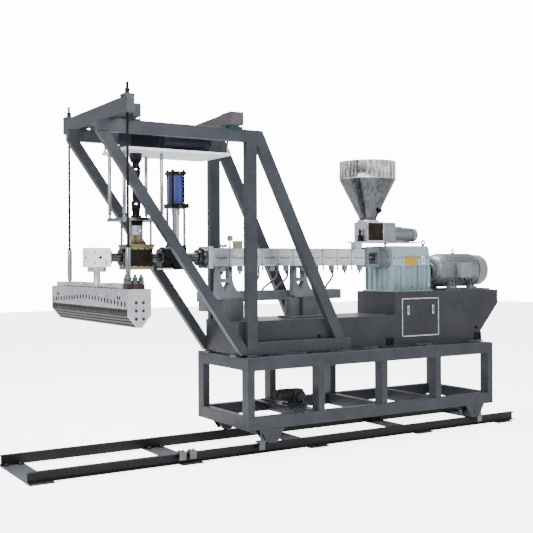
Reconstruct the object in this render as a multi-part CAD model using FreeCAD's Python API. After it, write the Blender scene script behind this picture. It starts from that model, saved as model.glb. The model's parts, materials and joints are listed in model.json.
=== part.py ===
"""Rail-mounted twin-screw plastic extruder with a hanging sheet die.

Millimetres, +Z up. The origin lies on the ground under the middle of the track. +X runs along the
machine from the die end to the motor end, and +Y runs away from the side with the access panel.
"""
import FreeCAD
import Part
import math
import os

V = FreeCAD.Vector

# ---- Track ------------------------------------------------------------------------------------
RAIL_LENGTH = 6100.0
RAIL_HEIGHT = 100.0
RAIL_WIDTH = 50.0
RAIL_WEB = 8.0
RAIL_FLANGE = 10.0
TRACK_WIDTH = 932.0            # over the outer faces of both rails
TIE_THICKNESS = 12.0
TIE_WIDTH = 230.0
TIE_OVERHANG = 34.0
TIE_CENTRES = (-2935.0, -1430.0, 80.0, 1560.0, 2850.0)
ANCHOR_HOLE_DIAMETER = 18.0
ANCHOR_HOLE_SPACING_X = 150.0
ANCHOR_HOLE_SPACING_Y = 700.0
CLAMP_LENGTH = 76.0
CLAMP_WALL = 20.0
CLAMP_JAW = 62.0               # how far the jaw reaches below the rail top
STOP_BOLT_SPACING = 40.0
STOP_BOLT_RADIUS = 9.0
STOP_BOLT_HEIGHT = 14.0
STOP_CENTRES = (-1536.0, -1424.0)

# ---- Carriage ---------------------------------------------------------------------------------
CARRIAGE_LEFT = -831.0
BAY_LENGTHS = (866.0, 852.0, 798.0, 826.0)     # between the middles of neighbouring posts
CARRIAGE_WIDTH = 1098.0
CARRIAGE_CLEARANCE = 158.0     # rail top to frame
CARRIAGE_HEIGHT = 730.0
CARRIAGE_TUBE_DEEP = 130.0
CARRIAGE_TUBE_THIN = 80.0
WHEEL_DIAMETER = 130.0
WHEEL_WIDTH = 36.0
WHEEL_INSET = 292.0            # wheel centre from the frame's end
AXLE_DIAMETER = 30.0
HUB_STEP = 4.0
RUNNING_GAP = 0.3
BRACKET_PLATE = 12.0
BRACKET_TOP_WIDTH = 280.0
BRACKET_FOOT_WIDTH = 100.0
SHOE_OFFSETS = (-96.0, 130.0)  # guide shoe centres from the left and right wheel centres
SHOE_LENGTH = 70.0
SHOE_ARM_LENGTH = 38.0
MOVING_GAP = 6.0
PIN_END = 6.0                  # how far an idler pin stands out of its cheeks
DRIVE_X = 0.0                  # travel drive
DRIVE_Y = -130.0
DECK_PLATE = 12.0
DECK_LENGTH = 270.0
DECK_WIDTH = 300.0
DECK_BAR_WIDTH = 60.0
DECK_BAR_OFFSETS = (-150.0, -10.0)
PAD_LENGTH = 150.0
PAD_WIDTH = 120.0

# ---- Machine bed ------------------------------------------------------------------------------
BED_PAD = 20.0
BED_WIDTH = 712.0
BED_LOW_HEIGHT = 341.0
BED_HIGH_HEIGHT = 605.0
BED_STEP_X = 1240.0
BED_TAIL_OVERHANG = 289.0      # past the carriage's motor end
BED_TAIL_DEPTH = 169.0
BED_HEEL_HEIGHT = 113.0
PANEL_LEFT = 1336.0
PANEL_LENGTH = 566.0
PANEL_HEIGHT = 446.0
PANEL_SILL = 86.0              # above the bed's underside
PANEL_TRIM = 14.0
PANEL_TRIM_DEPTH = 8.0
LUG_LENGTH = 100.0
LUG_HEIGHT = 88.0
LUG_DEPTH = 12.0
LUG_EYE_RADIUS = 26.0
PLUG_X = 175.0                 # plugged boss on the bed's side, above its underside by PLUG_RISE
PLUG_RISE = 152.0
PLUG_RADIUS = 19.0
PLUG_DEPTH = 10.0

# ---- Screw barrel -----------------------------------------------------------------------------
BARREL_AXIS_Z = 2026.0
BARREL_LEFT = -981.0
ZONE_COUNT = 10
ZONE_LENGTH = 200.0
ZONE_GAP = 4.0
COVER_SIZE = 187.0
BARREL_CORE = 110.0
FLANGE_PLATE = 60.0
FLANGE_SIZE = 230.0
SUPPORT_A_X = -808.0
SUPPORT_B_X = 148.0
STAND_WIDTH = 176.0
STAND_LEG = 42.0
STAND_DEPTH = 90.0
STAND_TOE = 12.0
STAND_HEEL = 122.0
PEDESTAL_HEIGHT = 222.0
TROUGH_LEFT = -957.0
TROUGH_LENGTH = 1827.0
TROUGH_WIDTH = 150.0
TROUGH_HEIGHT = 110.0
TROUGH_Y = 255.0
TROUGH_Z = 1550.0
TROUGH_WALL = 3.0
CONDUIT_RADIUS = 13.0
CONDUIT_BEND = 60.0
CONDUIT_DROP = 110.0
CONDUIT_RUNS = ((-334.0, 0.0), (-101.0, -70.0), (40.0, -30.0), (662.0, 30.0))   # x at the cover, drift

# ---- Gear case and motor ----------------------------------------------------------------------
GEAR_LEFT = 1290.0
GEAR_LENGTH = 570.0
GEAR_WIDTH = 504.0
GEAR_BASE = 16.0
GEAR_LOWER_HEIGHT = 284.0
GEAR_BAND_HEIGHT = 116.0
GEAR_COVER_HEIGHT = 116.0
MOTOR_AXIS_Z = 1868.0
MOTOR_RADIUS = 205.0
MOTOR_LEFT = 2110.0
MOTOR_BODY_LENGTH = 620.0
MOTOR_BELL_LENGTH = 110.0
FAN_COVER_LENGTH = 150.0
FAN_COVER_RADIUS = 190.0

# ---- Feeding ----------------------------------------------------------------------------------
HOPPER_X = 1130.0
HOPPER_RADIUS = 331.0
HOPPER_OUTLET_RADIUS = 102.0
HOPPER_TOP_Z = 3140.0
HOPPER_SHOULDER_Z = 2936.0
HOPPER_OUTLET_Z = 2460.0
HOPPER_WALL = 5.0
FEEDER_BOX_LENGTH = 250.0
FEEDER_BOX_WIDTH = 250.0
FEEDER_PLATE_Z = 2195.0
FEEDER_PLATE = 14.0
FEED_THROAT = 96.0

# ---- Gantry -----------------------------------------------------------------------------------
GANTRY_TUBE_DEEP = 125.0
GANTRY_TUBE_WIDE = 78.0
GANTRY_TOP_Z = 3329.0
GANTRY_LEFT = -2376.0
GANTRY_POST_X = -705.0
GANTRY_BRACE_DEEP = 100.0
FRONT_BRACE_REACH = 70.0       # the brace's left edge from the post, at the foot
REAR_BRACE_FOOT = 207.0        # the brace's left edge from the sole beam's end
REAR_BRACE_HEAD = 71.0         # and from the post's right face, at the top
SOLE_RIGHT = 547.0
CROSSBEAM_DEEP = 150.0
CROSSBEAM_WIDE = 80.0
DIE_BEAM_LENGTH = 1690.0
PLATFORM_BEAM_X = -2032.0
PLATFORM_BEAM_LENGTH = 1120.0
REAR_BEAM_X = -932.0
REAR_BEAM_WIDE = 150.0
REAR_BEAM_DEEP = 130.0
REAR_BEAM_LENGTH = 1060.0
SHIM = 24.0
SHIM_OFFSET = 44.0
BEAM_FOOT = 14.0

# ---- Pump drive and pump ----------------------------------------------------------------------
PLATFORM_LEFT = -2010.0
PLATFORM_RIGHT = -925.0
PLATFORM_WIDTH = 640.0
PLATFORM_TOP_Z = 3092.0
PLATFORM_PLATE = 26.0
PUMP_X = -1803.0
PUMP_SIZE = 250.0
PUMP_HEIGHT = 214.0
BRASS_PLATE = 14.0
SUPPORT_PLATE_Z = 2388.0
SUPPORT_PLATE = 30.0
SUPPORT_PLATE_LENGTH = 448.0
SUPPORT_PLATE_X = PUMP_X - 4
COLUMN_SPACING = 220.0
COLUMN_RADIUS = 12.0
SUPPORT_PLATE_WIDTH = 420.0
SHAFT_RADIUS = 32.0
GEAR_BOSS = 60.0

# ---- Screen changer ---------------------------------------------------------------------------
SCREEN_X = -1362.0
SCREEN_SLIDE_THICKNESS = 36.0
SCREEN_SLIDE_WIDTH = 90.0
SCREEN_STROKE = 110.0
CYLINDER_RADIUS = 78.0
CYLINDER_BASE_Z = 2530.0
CYLINDER_BASE_PLATE = 46.0
CYLINDER_LENGTH = 294.0
CYLINDER_WALL = 16.0
CYLINDER_HEAD_PLATE = 36.0
CYLINDER_HEAD_SIZE = 165.0
CYLINDER_BASE_SIZE = 194.0
TIE_ROD_SPACING = 124.0
TIE_ROD_RADIUS = 9.0
TIE_ROD_END = 20.0
PISTON_ROD_RADIUS = 22.0

# ---- Sheet die --------------------------------------------------------------------------------
DIE_X = -2220.0
DIE_LENGTH = 2048.0
DIE_WIDTH = 222.0
DIE_TOP_Z = 1737.0
DIE_SHOULDER_Z = 1560.0
DIE_LIP_Z = 1394.0
DIE_END_PLATE = 22.0
CONNECTOR_PLACES = ((DIE_X - 75, -962), (DIE_X - 17, -962), (DIE_X + 41, -962), (DIE_X - 75, -900))
DIE_HANGER_Y = 771.0
HANGER_ROD_RADIUS = 13.0

# ---- Levels and places worked out from the sizes above ----------------------------------------
RAIL_TOP = TIE_THICKNESS + RAIL_HEIGHT
RAIL_OUTER = TRACK_WIDTH / 2
RAIL_MIDDLE = RAIL_OUTER - RAIL_WIDTH / 2
FRAME_BOTTOM = RAIL_TOP + CARRIAGE_CLEARANCE
FRAME_TOP = FRAME_BOTTOM + CARRIAGE_HEIGHT
FRAME_SIDE = CARRIAGE_WIDTH / 2
CARRIAGE_RIGHT = CARRIAGE_LEFT + sum(BAY_LENGTHS) + CARRIAGE_TUBE_THIN
AXLE_Z = RAIL_TOP + RUNNING_GAP + WHEEL_DIAMETER / 2
WHEEL_LEFT_X = CARRIAGE_LEFT + WHEEL_INSET
WHEEL_RIGHT_X = CARRIAGE_RIGHT - WHEEL_INSET
BED_BOTTOM = FRAME_TOP + BED_PAD
BED_LOW_TOP = BED_BOTTOM + BED_LOW_HEIGHT
BED_HIGH_TOP = BED_BOTTOM + BED_HIGH_HEIGHT
BED_SIDE = BED_WIDTH / 2
BARREL_RIGHT = BARREL_LEFT + ZONE_COUNT * ZONE_LENGTH
COVER_BOTTOM = BARREL_AXIS_Z - COVER_SIZE / 2
COVER_TOP = BARREL_AXIS_Z + COVER_SIZE / 2
GANTRY_BEAM_BOTTOM = GANTRY_TOP_Z - GANTRY_TUBE_DEEP
GANTRY_INNER = BED_SIDE
GANTRY_OUTER = BED_SIDE + GANTRY_TUBE_WIDE
GANTRY_MIDDLE = (GANTRY_INNER + GANTRY_OUTER) / 2
SOLE_TOP = BED_BOTTOM + GANTRY_TUBE_DEEP
PUMP_BOTTOM = BARREL_AXIS_Z - PUMP_HEIGHT / 2
PUMP_TOP = BARREL_AXIS_Z + PUMP_HEIGHT / 2
GEAR_RIGHT = GEAR_LEFT + GEAR_LENGTH
Y_AXIS = V(0, 1, 0)
Z_AXIS = V(0, 0, 1)


# ---- Shape helpers ----------------------------------------------------------------------------
def block(x, y, z):
    """Box from three (low, high) pairs."""
    return Part.makeBox(x[1] - x[0], y[1] - y[0], z[1] - z[0], V(x[0], y[0], z[0]))


def centred(x, length, y, width, z, height):
    """Box centred on x and y that stands on z."""
    return block((x - length / 2, x + length / 2), (y - width / 2, y + width / 2), (z, z + height))


def rod(start, end, radius):
    """Round bar between two points."""
    line = V(*end) - V(*start)
    return Part.makeCylinder(radius, line.Length, V(*start), line)


def ring(start, end, outer, inner):
    """Round tube between two points."""
    return rod(start, end, outer).cut(rod(start, end, inner))


def outline(points, low, high, plane="xz"):
    """Flat outline, pushed from low to high along the axis that the plane leaves out."""
    if plane == "xz":
        corners = [V(a, low, b) for a, b in points]
        push = V(0, high - low, 0)
    else:
        corners = [V(low, a, b) for a, b in points]
        push = V(high - low, 0, 0)
    face = Part.Face(Part.makePolygon(corners + corners[:1]))
    return face.extrude(push)


def fuse(solids):
    """One clean solid from several that share faces."""
    return solids[0].multiFuse(solids[1:]).removeSplitter()


def across(shape):
    """The same piece on the other side of the machine."""
    return shape.mirror(V(0, 0, 0), Y_AXIS)


def both_sides(solids):
    """Pieces on the near side and their mirror copies."""
    return solids + [across(solid) for solid in solids]


def bent_tube(points, bend, radius):
    """Round bar along straight runs, with an arc of the bend radius at every corner."""
    corners = [V(*point) for point in points]
    edges = []
    start = corners[0]
    for before, corner, after in zip(corners, corners[1:], corners[2:]):
        arriving = (corner - before).normalize()
        leaving = (after - corner).normalize()
        half_turn = arriving.getAngle(leaving) / 2
        setback = bend * math.tan(half_turn)
        first = corner - arriving * setback
        last = corner + leaving * setback
        inwards = (leaving - arriving).normalize()
        middle = corner + inwards * (bend / math.cos(half_turn) - bend)
        edges.append(Part.LineSegment(start, first).toShape())
        edges.append(Part.Arc(first, middle, last).toShape())
        start = last
    edges.append(Part.LineSegment(start, corners[-1]).toShape())
    section = Part.Wire(Part.makeCircle(radius, corners[0], corners[1] - corners[0]))
    return Part.Wire(edges).makePipeShell([section], True, False)


def revolve(profile, centre):
    """Solid of revolution about the vertical through centre, from (radius, height) points."""
    corners = [V(centre[0] + r, centre[1], h) for r, h in profile]
    face = Part.Face(Part.makePolygon(corners + corners[:1]))
    return face.revolve(V(centre[0], centre[1], 0), Z_AXIS, 360)


# ---- Track ------------------------------------------------------------------------------------
def near_rail():
    """Channel with its open side outwards."""
    y = -RAIL_OUTER
    z = TIE_THICKNESS
    whole = block((-RAIL_LENGTH / 2, RAIL_LENGTH / 2), (y, y + RAIL_WIDTH), (z, RAIL_TOP))
    hollow = block((-RAIL_LENGTH / 2 - 1, RAIL_LENGTH / 2 + 1), (y - 1, y + RAIL_WIDTH - RAIL_WEB),
                   (z + RAIL_FLANGE, RAIL_TOP - RAIL_FLANGE))
    return whole.cut(hollow)


def tie_plates():
    """Flat plates under both rails, each with four anchor holes between the rails."""
    plates = []
    for x in TIE_CENTRES:
        plate = centred(x, TIE_WIDTH, 0, TRACK_WIDTH + 2 * TIE_OVERHANG, 0, TIE_THICKNESS)
        for dx in (-ANCHOR_HOLE_SPACING_X / 2, ANCHOR_HOLE_SPACING_X / 2):
            for y in (-ANCHOR_HOLE_SPACING_Y / 2, ANCHOR_HOLE_SPACING_Y / 2):
                hole = rod((x + dx, y, -1), (x + dx, y, TIE_THICKNESS + 1), ANCHOR_HOLE_DIAMETER / 2)
                plate = plate.cut(hole)
        plates.append(plate)
    return plates


def hooked_clamp(x, length, gap):
    """Block that hooks over the near rail's top flange from outside, gap clear of it."""
    outer = -RAIL_OUTER - gap - CLAMP_WALL
    inner = -RAIL_OUTER + RAIL_WIDTH
    top = centred(x, length, (outer + inner) / 2, inner - outer, RAIL_TOP + gap, CLAMP_WALL)
    jaw = centred(x, length, outer + CLAMP_WALL / 2, CLAMP_WALL, RAIL_TOP - CLAMP_JAW,
                  CLAMP_JAW + gap)
    return fuse([top, jaw])


def rail_stops():
    """Two stops clamped on the near rail, each with a pair of bolts on top."""
    stops = []
    for x in STOP_CENTRES:
        solids = [hooked_clamp(x, CLAMP_LENGTH, 0)]
        foot = RAIL_TOP + CLAMP_WALL
        for bolt_x in (x - STOP_BOLT_SPACING / 2, x + STOP_BOLT_SPACING / 2):
            solids.append(rod((bolt_x, -RAIL_MIDDLE, foot),
                              (bolt_x, -RAIL_MIDDLE, foot + STOP_BOLT_HEIGHT), STOP_BOLT_RADIUS))
        stops.append(fuse(solids))
    return stops


# ---- Carriage frame ---------------------------------------------------------------------------
def post_centres():
    """X of the five post stations."""
    x = CARRIAGE_LEFT + CARRIAGE_TUBE_THIN / 2
    stations = [x]
    for bay in BAY_LENGTHS:
        x += bay
        stations.append(x)
    return stations


def side_beam(bottom):
    """Long near-side beam of the frame, standing on edge."""
    return block((CARRIAGE_LEFT, CARRIAGE_RIGHT), (-FRAME_SIDE, -FRAME_SIDE + CARRIAGE_TUBE_THIN),
                 (bottom, bottom + CARRIAGE_TUBE_DEEP))


def carriage_posts():
    """Ten posts between the lower and the upper beams."""
    low = FRAME_BOTTOM + CARRIAGE_TUBE_DEEP
    height = CARRIAGE_HEIGHT - 2 * CARRIAGE_TUBE_DEEP
    y = -FRAME_SIDE + CARRIAGE_TUBE_DEEP / 2
    posts = [centred(x, CARRIAGE_TUBE_THIN, y, CARRIAGE_TUBE_DEEP, low, height)
             for x in post_centres()]
    return both_sides(posts)


def cross_members():
    """Cross beams between the side beams at every post, below and above."""
    width = CARRIAGE_WIDTH - 2 * CARRIAGE_TUBE_THIN
    members = []
    for z in (FRAME_BOTTOM, FRAME_TOP - CARRIAGE_TUBE_DEEP):
        for x in post_centres():
            members.append(centred(x, CARRIAGE_TUBE_THIN, 0, width, z, CARRIAGE_TUBE_DEEP))
    return members


def wheel_bracket(x):
    """Top plate and two tapered cheeks round a near-side wheel."""
    hole = AXLE_DIAMETER / 2 + RUNNING_GAP
    top = FRAME_BOTTOM - BRACKET_PLATE
    inner = -RAIL_MIDDLE + WHEEL_WIDTH / 2 + 2 * MOVING_GAP
    plate = block((x - BRACKET_TOP_WIDTH / 2, x + BRACKET_TOP_WIDTH / 2),
                  (-FRAME_SIDE, inner + BRACKET_PLATE), (top, FRAME_BOTTOM))
    half_top = BRACKET_TOP_WIDTH / 2
    half_foot = BRACKET_FOOT_WIDTH / 2
    foot = RAIL_TOP + 2 * MOVING_GAP
    trapezium = [(x - half_top, top), (x + half_top, top), (x + half_foot, foot), (x - half_foot, foot)]
    solids = [plate]
    for y in (-FRAME_SIDE, inner):
        cheek = outline(trapezium, y, y + BRACKET_PLATE)
        solids.append(cheek.cut(rod((x, y - 1, AXLE_Z), (x, y + BRACKET_PLATE + 1, AXLE_Z), hole)))
    return fuse(solids)


def wheel(x, side):
    """Plain tread wheel with a hub, on the near (-1) or the far (+1) rail."""
    y = side * RAIL_MIDDLE
    half = WHEEL_WIDTH / 2
    tread = rod((x, y - half, AXLE_Z), (x, y + half, AXLE_Z), WHEEL_DIAMETER / 2)
    hub = rod((x, y - half - HUB_STEP, AXLE_Z), (x, y + half + HUB_STEP, AXLE_Z), WHEEL_DIAMETER / 4)
    return fuse([tread, hub])


def drive_wheelset():
    """Axle with both wheels of the die end."""
    end = FRAME_SIDE - 2
    axle = rod((WHEEL_LEFT_X, -end, AXLE_Z), (WHEEL_LEFT_X, end, AXLE_Z), AXLE_DIAMETER / 2)
    return fuse([axle, wheel(WHEEL_LEFT_X, -1), wheel(WHEEL_LEFT_X, 1)])


def idler_wheel(side):
    """Wheel of the motor end that turns on its own fixed pin."""
    y = side * RAIL_MIDDLE
    bore = rod((WHEEL_RIGHT_X, y - WHEEL_WIDTH, AXLE_Z), (WHEEL_RIGHT_X, y + WHEEL_WIDTH, AXLE_Z),
               AXLE_DIAMETER / 2 + RUNNING_GAP)
    return wheel(WHEEL_RIGHT_X, side).cut(bore)


def idler_pins():
    """Fixed pins of the motor-end wheels, each through both cheeks of its bracket."""
    inner = RAIL_MIDDLE - WHEEL_WIDTH / 2 - 2 * MOVING_GAP - BRACKET_PLATE - PIN_END
    pin = rod((WHEEL_RIGHT_X, -FRAME_SIDE - PIN_END, AXLE_Z), (WHEEL_RIGHT_X, -inner, AXLE_Z),
              AXLE_DIAMETER / 2)
    return both_sides([pin])


def guide_shoes():
    """Shoes beside the near wheels that hook over the rail, with an arm up to the bracket."""
    shoes = []
    outer = -RAIL_OUTER - MOVING_GAP - CLAMP_WALL
    arm_foot = RAIL_TOP + MOVING_GAP
    arm_height = FRAME_BOTTOM - BRACKET_PLATE - arm_foot
    for wheel_x, offset in zip((WHEEL_LEFT_X, WHEEL_RIGHT_X), SHOE_OFFSETS):
        hook = hooked_clamp(wheel_x + offset, SHOE_LENGTH, MOVING_GAP)
        arm = centred(wheel_x + offset, SHOE_ARM_LENGTH, outer, CLAMP_WALL, arm_foot, arm_height)
        shoes.append(fuse([hook, arm]))
    return shoes


def drive_deck():
    """Two cross bars and a plate on the lower beams that carry the travel drive."""
    top = FRAME_BOTTOM + CARRIAGE_TUBE_DEEP
    width = CARRIAGE_WIDTH - CARRIAGE_TUBE_THIN
    bars = [centred(DRIVE_X + dx, DECK_BAR_WIDTH, 0, width, top, DECK_PLATE)
            for dx in DECK_BAR_OFFSETS]
    return bars + [centred(DRIVE_X - 25, DECK_LENGTH, DRIVE_Y, DECK_WIDTH, top + DECK_PLATE, DECK_PLATE)]


def travel_drive():
    """Geared motor of the carriage: foot, worm case, motor, end cover and chain wheel guard."""
    z = FRAME_BOTTOM + CARRIAGE_TUBE_DEEP + 2 * DECK_PLATE
    x = DRIVE_X
    y = DRIVE_Y
    foot = centred(x, 200, y, 200, z, 16)
    case = centred(x + 20, 130, y, 130, z + 16, 150)
    motor = rod((x - 45, y, z + 110), (x - 250, y, z + 110), 66)
    hub = rod((x + 20, y - 100, z + 80), (x + 20, y + 100, z + 80), 48)
    cap = rod((x + 85, y, z + 90), (x + 120, y, z + 90), 50)
    return [fuse([foot, case, motor, hub, cap])]


def support_pads():
    """Steel pads between the frame and the machine bed, under its edges."""
    pads = []
    for x in post_centres():
        pads.append(centred(x, PAD_LENGTH, -BED_SIDE + PAD_WIDTH / 2, PAD_WIDTH, FRAME_TOP, BED_PAD))
    pads = both_sides(pads)
    for x in (GANTRY_POST_X, SOLE_RIGHT - 60):
        for side in (-1, 1):
            pads.append(centred(x, PAD_WIDTH, side * GANTRY_MIDDLE, PAD_WIDTH / 2, FRAME_TOP, BED_PAD))
    return pads


# ---- Machine bed ------------------------------------------------------------------------------
def machine_bed():
    """Stepped welded box with a cut-back tail that carries barrel, gear case and motor."""
    tail = CARRIAGE_RIGHT + BED_TAIL_OVERHANG
    points = [(CARRIAGE_LEFT, BED_BOTTOM), (CARRIAGE_RIGHT, BED_BOTTOM),
              (CARRIAGE_RIGHT, BED_BOTTOM + BED_HEEL_HEIGHT), (tail, BED_HIGH_TOP - BED_TAIL_DEPTH),
              (tail, BED_HIGH_TOP), (BED_STEP_X, BED_HIGH_TOP), (BED_STEP_X, BED_LOW_TOP),
              (CARRIAGE_LEFT, BED_LOW_TOP)]
    return outline(points, -BED_SIDE, BED_SIDE)


def access_panel():
    """Flat panel on the near side of the bed with two upright slot latches."""
    z = BED_BOTTOM + PANEL_SILL
    x = PANEL_LEFT
    panel = block((x + PANEL_TRIM, x + PANEL_LENGTH - PANEL_TRIM), (-BED_SIDE - 5, -BED_SIDE),
                  (z + PANEL_TRIM, z + PANEL_HEIGHT - PANEL_TRIM))
    solids = [panel]
    for dx in (94, PANEL_LENGTH - 94):
        solids.append(centred(x + dx, 24, -BED_SIDE - 9, 8, z + PANEL_HEIGHT - 185, 95))
    return fuse(solids)


def panel_trim():
    """Pale frame round the access panel."""
    z = BED_BOTTOM + PANEL_SILL
    y = (-BED_SIDE - PANEL_TRIM_DEPTH, -BED_SIDE)
    whole = block((PANEL_LEFT, PANEL_LEFT + PANEL_LENGTH), y, (z, z + PANEL_HEIGHT))
    hole = block((PANEL_LEFT + PANEL_TRIM, PANEL_LEFT + PANEL_LENGTH - PANEL_TRIM),
                 (y[0] - 1, y[1] + 1), (z + PANEL_TRIM, z + PANEL_HEIGHT - PANEL_TRIM))
    return whole.cut(hole)


def lifting_lugs():
    """Four dark lifting sockets low on the bed's sides and two plugged bosses above them."""
    lugs = []
    for x in (BED_STEP_X - 78, CARRIAGE_RIGHT - LUG_LENGTH / 2 - 4):
        lug = centred(x, LUG_LENGTH, -BED_SIDE - LUG_DEPTH / 2, LUG_DEPTH, BED_BOTTOM, LUG_HEIGHT)
        eye = rod((x, -BED_SIDE - LUG_DEPTH - 1, BED_BOTTOM + 42),
                  (x, -BED_SIDE - 4, BED_BOTTOM + 42), LUG_EYE_RADIUS)
        lugs.append(lug.cut(eye))
    for x, z in ((PLUG_X, PLUG_RISE), (CARRIAGE_RIGHT - 79, PLUG_RISE)):
        lugs.append(rod((x, -BED_SIDE, BED_BOTTOM + z), (x, -BED_SIDE - PLUG_DEPTH, BED_BOTTOM + z),
                        PLUG_RADIUS))
    return both_sides(lugs)


# ---- Screw barrel -----------------------------------------------------------------------------
def barrel_core():
    """Square barrel bar through all the heated zones, with a bolted flange plate at the die end."""
    half = BARREL_CORE / 2
    core = block((BARREL_LEFT - FLANGE_PLATE, BARREL_RIGHT), (-half, half),
                 (BARREL_AXIS_Z - half, BARREL_AXIS_Z + half))
    return core


def heater_covers():
    """Square brushed covers round the heated zones, a thin gap between neighbours."""
    core = BARREL_CORE / 2
    covers = []
    for i in range(ZONE_COUNT):
        x = BARREL_LEFT + i * ZONE_LENGTH
        whole = block((x, x + ZONE_LENGTH - ZONE_GAP), (-COVER_SIZE / 2, COVER_SIZE / 2),
                      (COVER_BOTTOM, COVER_TOP))
        bore = block((x - 1, x + ZONE_LENGTH), (-core, core),
                     (BARREL_AXIS_Z - core, BARREL_AXIS_Z + core))
        covers.append(whole.cut(bore))
    return covers


def barrel_flange():
    """Square flange plate and the dark stepped adapter in front of it."""
    x = BARREL_LEFT
    half = BARREL_CORE / 2
    plate = block((x - FLANGE_PLATE, x - ZONE_GAP), (-FLANGE_SIZE / 2, FLANGE_SIZE / 2),
                  (BARREL_AXIS_Z - FLANGE_SIZE / 2, BARREL_AXIS_Z + FLANGE_SIZE / 2))
    bore = block((x - FLANGE_PLATE - 1, x), (-half, half),
                 (BARREL_AXIS_Z - half, BARREL_AXIS_Z + half))
    return plate.cut(bore)


def barrel_adapter():
    """Round stepped adapter from the barrel flange towards the screen changer."""
    x = BARREL_LEFT - FLANGE_PLATE
    z = BARREL_AXIS_Z
    solids = [rod((x - 40, 0, z), (x, 0, z), 108), rod((x - 86, 0, z), (x - 40, 0, z), 84)]
    solids.append(rod((SCREEN_X + 75, 0, z), (x - 86, 0, z), 48))
    return fuse(solids)


def barrel_support(x):
    """Cast stand under the barrel: two legs, a cross bar and a foot that sweeps outwards."""
    top = COVER_BOTTOM
    foot = BED_LOW_TOP + PEDESTAL_HEIGHT
    half = STAND_WIDTH / 2
    leg = STAND_LEG
    left = x - half - STAND_TOE
    right = x + half + STAND_HEEL
    shape = outline([(x - half, top), (x + half, top), (x + half, top - 130), (x + half + 22, top - 205),
                     (x + half + 56, foot + 92), (right, foot + 50), (right, foot),
                     (left + 30, foot), (left, foot + 60), (x - half - 6, top - 205)],
                    -STAND_DEPTH / 2, STAND_DEPTH / 2)
    through = STAND_DEPTH / 2 + 5
    window = block((x - half + leg, x + half - leg), (-through, through), (top - 130, top - 26))
    triangle = outline([(x - half + leg, top - 172), (x + half - leg, top - 172), (x, top - 262)],
                       -through, through)
    return shape.cut(window).cut(triangle)


def support_pedestals():
    """Pedestals between the bed and the barrel stands: a block, and a drum beside a block."""
    z = BED_LOW_TOP
    top = z + PEDESTAL_HEIGHT
    left = block((CARRIAGE_LEFT, CARRIAGE_LEFT + 230), (-75, 75), (z, top))
    plate = block((SUPPORT_B_X - 180, SUPPORT_B_X + 250), (-150, 150), (z, z + 18))
    drum = rod((SUPPORT_B_X - 82, 0, z + 18), (SUPPORT_B_X - 82, 0, top), 84)
    right = block((SUPPORT_B_X + 12, SUPPORT_B_X + 190), (-75, 75), (z + 18, top))
    return [left, fuse([plate, drum, right])]


def wiring_trough():
    """Light channel beside the stands that takes the heater wiring, on two posts."""
    right = TROUGH_LEFT + TROUGH_LENGTH
    y = (TROUGH_Y - TROUGH_WIDTH / 2, TROUGH_Y + TROUGH_WIDTH / 2)
    tray = block((TROUGH_LEFT, right), y, (TROUGH_Z, TROUGH_Z + TROUGH_HEIGHT))
    hollow = block((TROUGH_LEFT + TROUGH_WALL, right - TROUGH_WALL), (y[0] + TROUGH_WALL, y[1] - TROUGH_WALL),
                   (TROUGH_Z + TROUGH_WALL, TROUGH_Z + TROUGH_HEIGHT + 1))
    posts = [centred(x, 80, TROUGH_Y, 60, BED_LOW_TOP, TROUGH_Z - BED_LOW_TOP) for x in (-740.0, 600.0)]
    box = centred(TROUGH_LEFT + 75, 120, TROUGH_Y, 120, TROUGH_Z - 100, 100)
    return [tray.cut(hollow), box] + posts


def heater_conduits():
    """Flexible conduits from under the heated zones down into the wiring trough."""
    conduits = []
    for x, drift in CONDUIT_RUNS:
        y = BARREL_CORE / 2
        points = [(x, y, COVER_BOTTOM), (x, y, COVER_BOTTOM - CONDUIT_DROP),
                  (x + drift, TROUGH_Y, TROUGH_Z + TROUGH_HEIGHT + CONDUIT_BEND),
                  (x + drift, TROUGH_Y, TROUGH_Z + TROUGH_WALL)]
        conduits.append(bent_tube(points, CONDUIT_BEND, CONDUIT_RADIUS))
    return conduits


def vent_port():
    """Square vent stack with a round rim on the second heated zone, and a sampling valve."""
    x = BARREL_LEFT + 1.75 * ZONE_LENGTH
    stack = centred(x, 78, 0, 78, COVER_TOP, 62)
    rim = rod((x, 0, COVER_TOP + 62), (x, 0, COVER_TOP + 84), 58)
    bore = rod((x, 0, COVER_TOP + 10), (x, 0, COVER_TOP + 90), 30)
    valve_x = BARREL_LEFT + 0.85 * ZONE_LENGTH
    stem = rod((valve_x, 0, COVER_TOP), (valve_x, 0, COVER_TOP + 26), 14)
    body = rod((valve_x - 46, 0, COVER_TOP + 30), (valve_x + 46, 0, COVER_TOP + 30), 16)
    return [fuse([stack, rim]).cut(bore), fuse([stem, body])]


def pressure_gauge():
    """Round dial on a slim stem beside the vent."""
    x = BARREL_LEFT + 1.28 * ZONE_LENGTH
    stem = rod((x, 0, COVER_TOP), (x, 0, COVER_TOP + 86), 7)
    dial = rod((x, -14, COVER_TOP + 112), (x, 14, COVER_TOP + 112), 31)
    return fuse([stem, dial])


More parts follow.
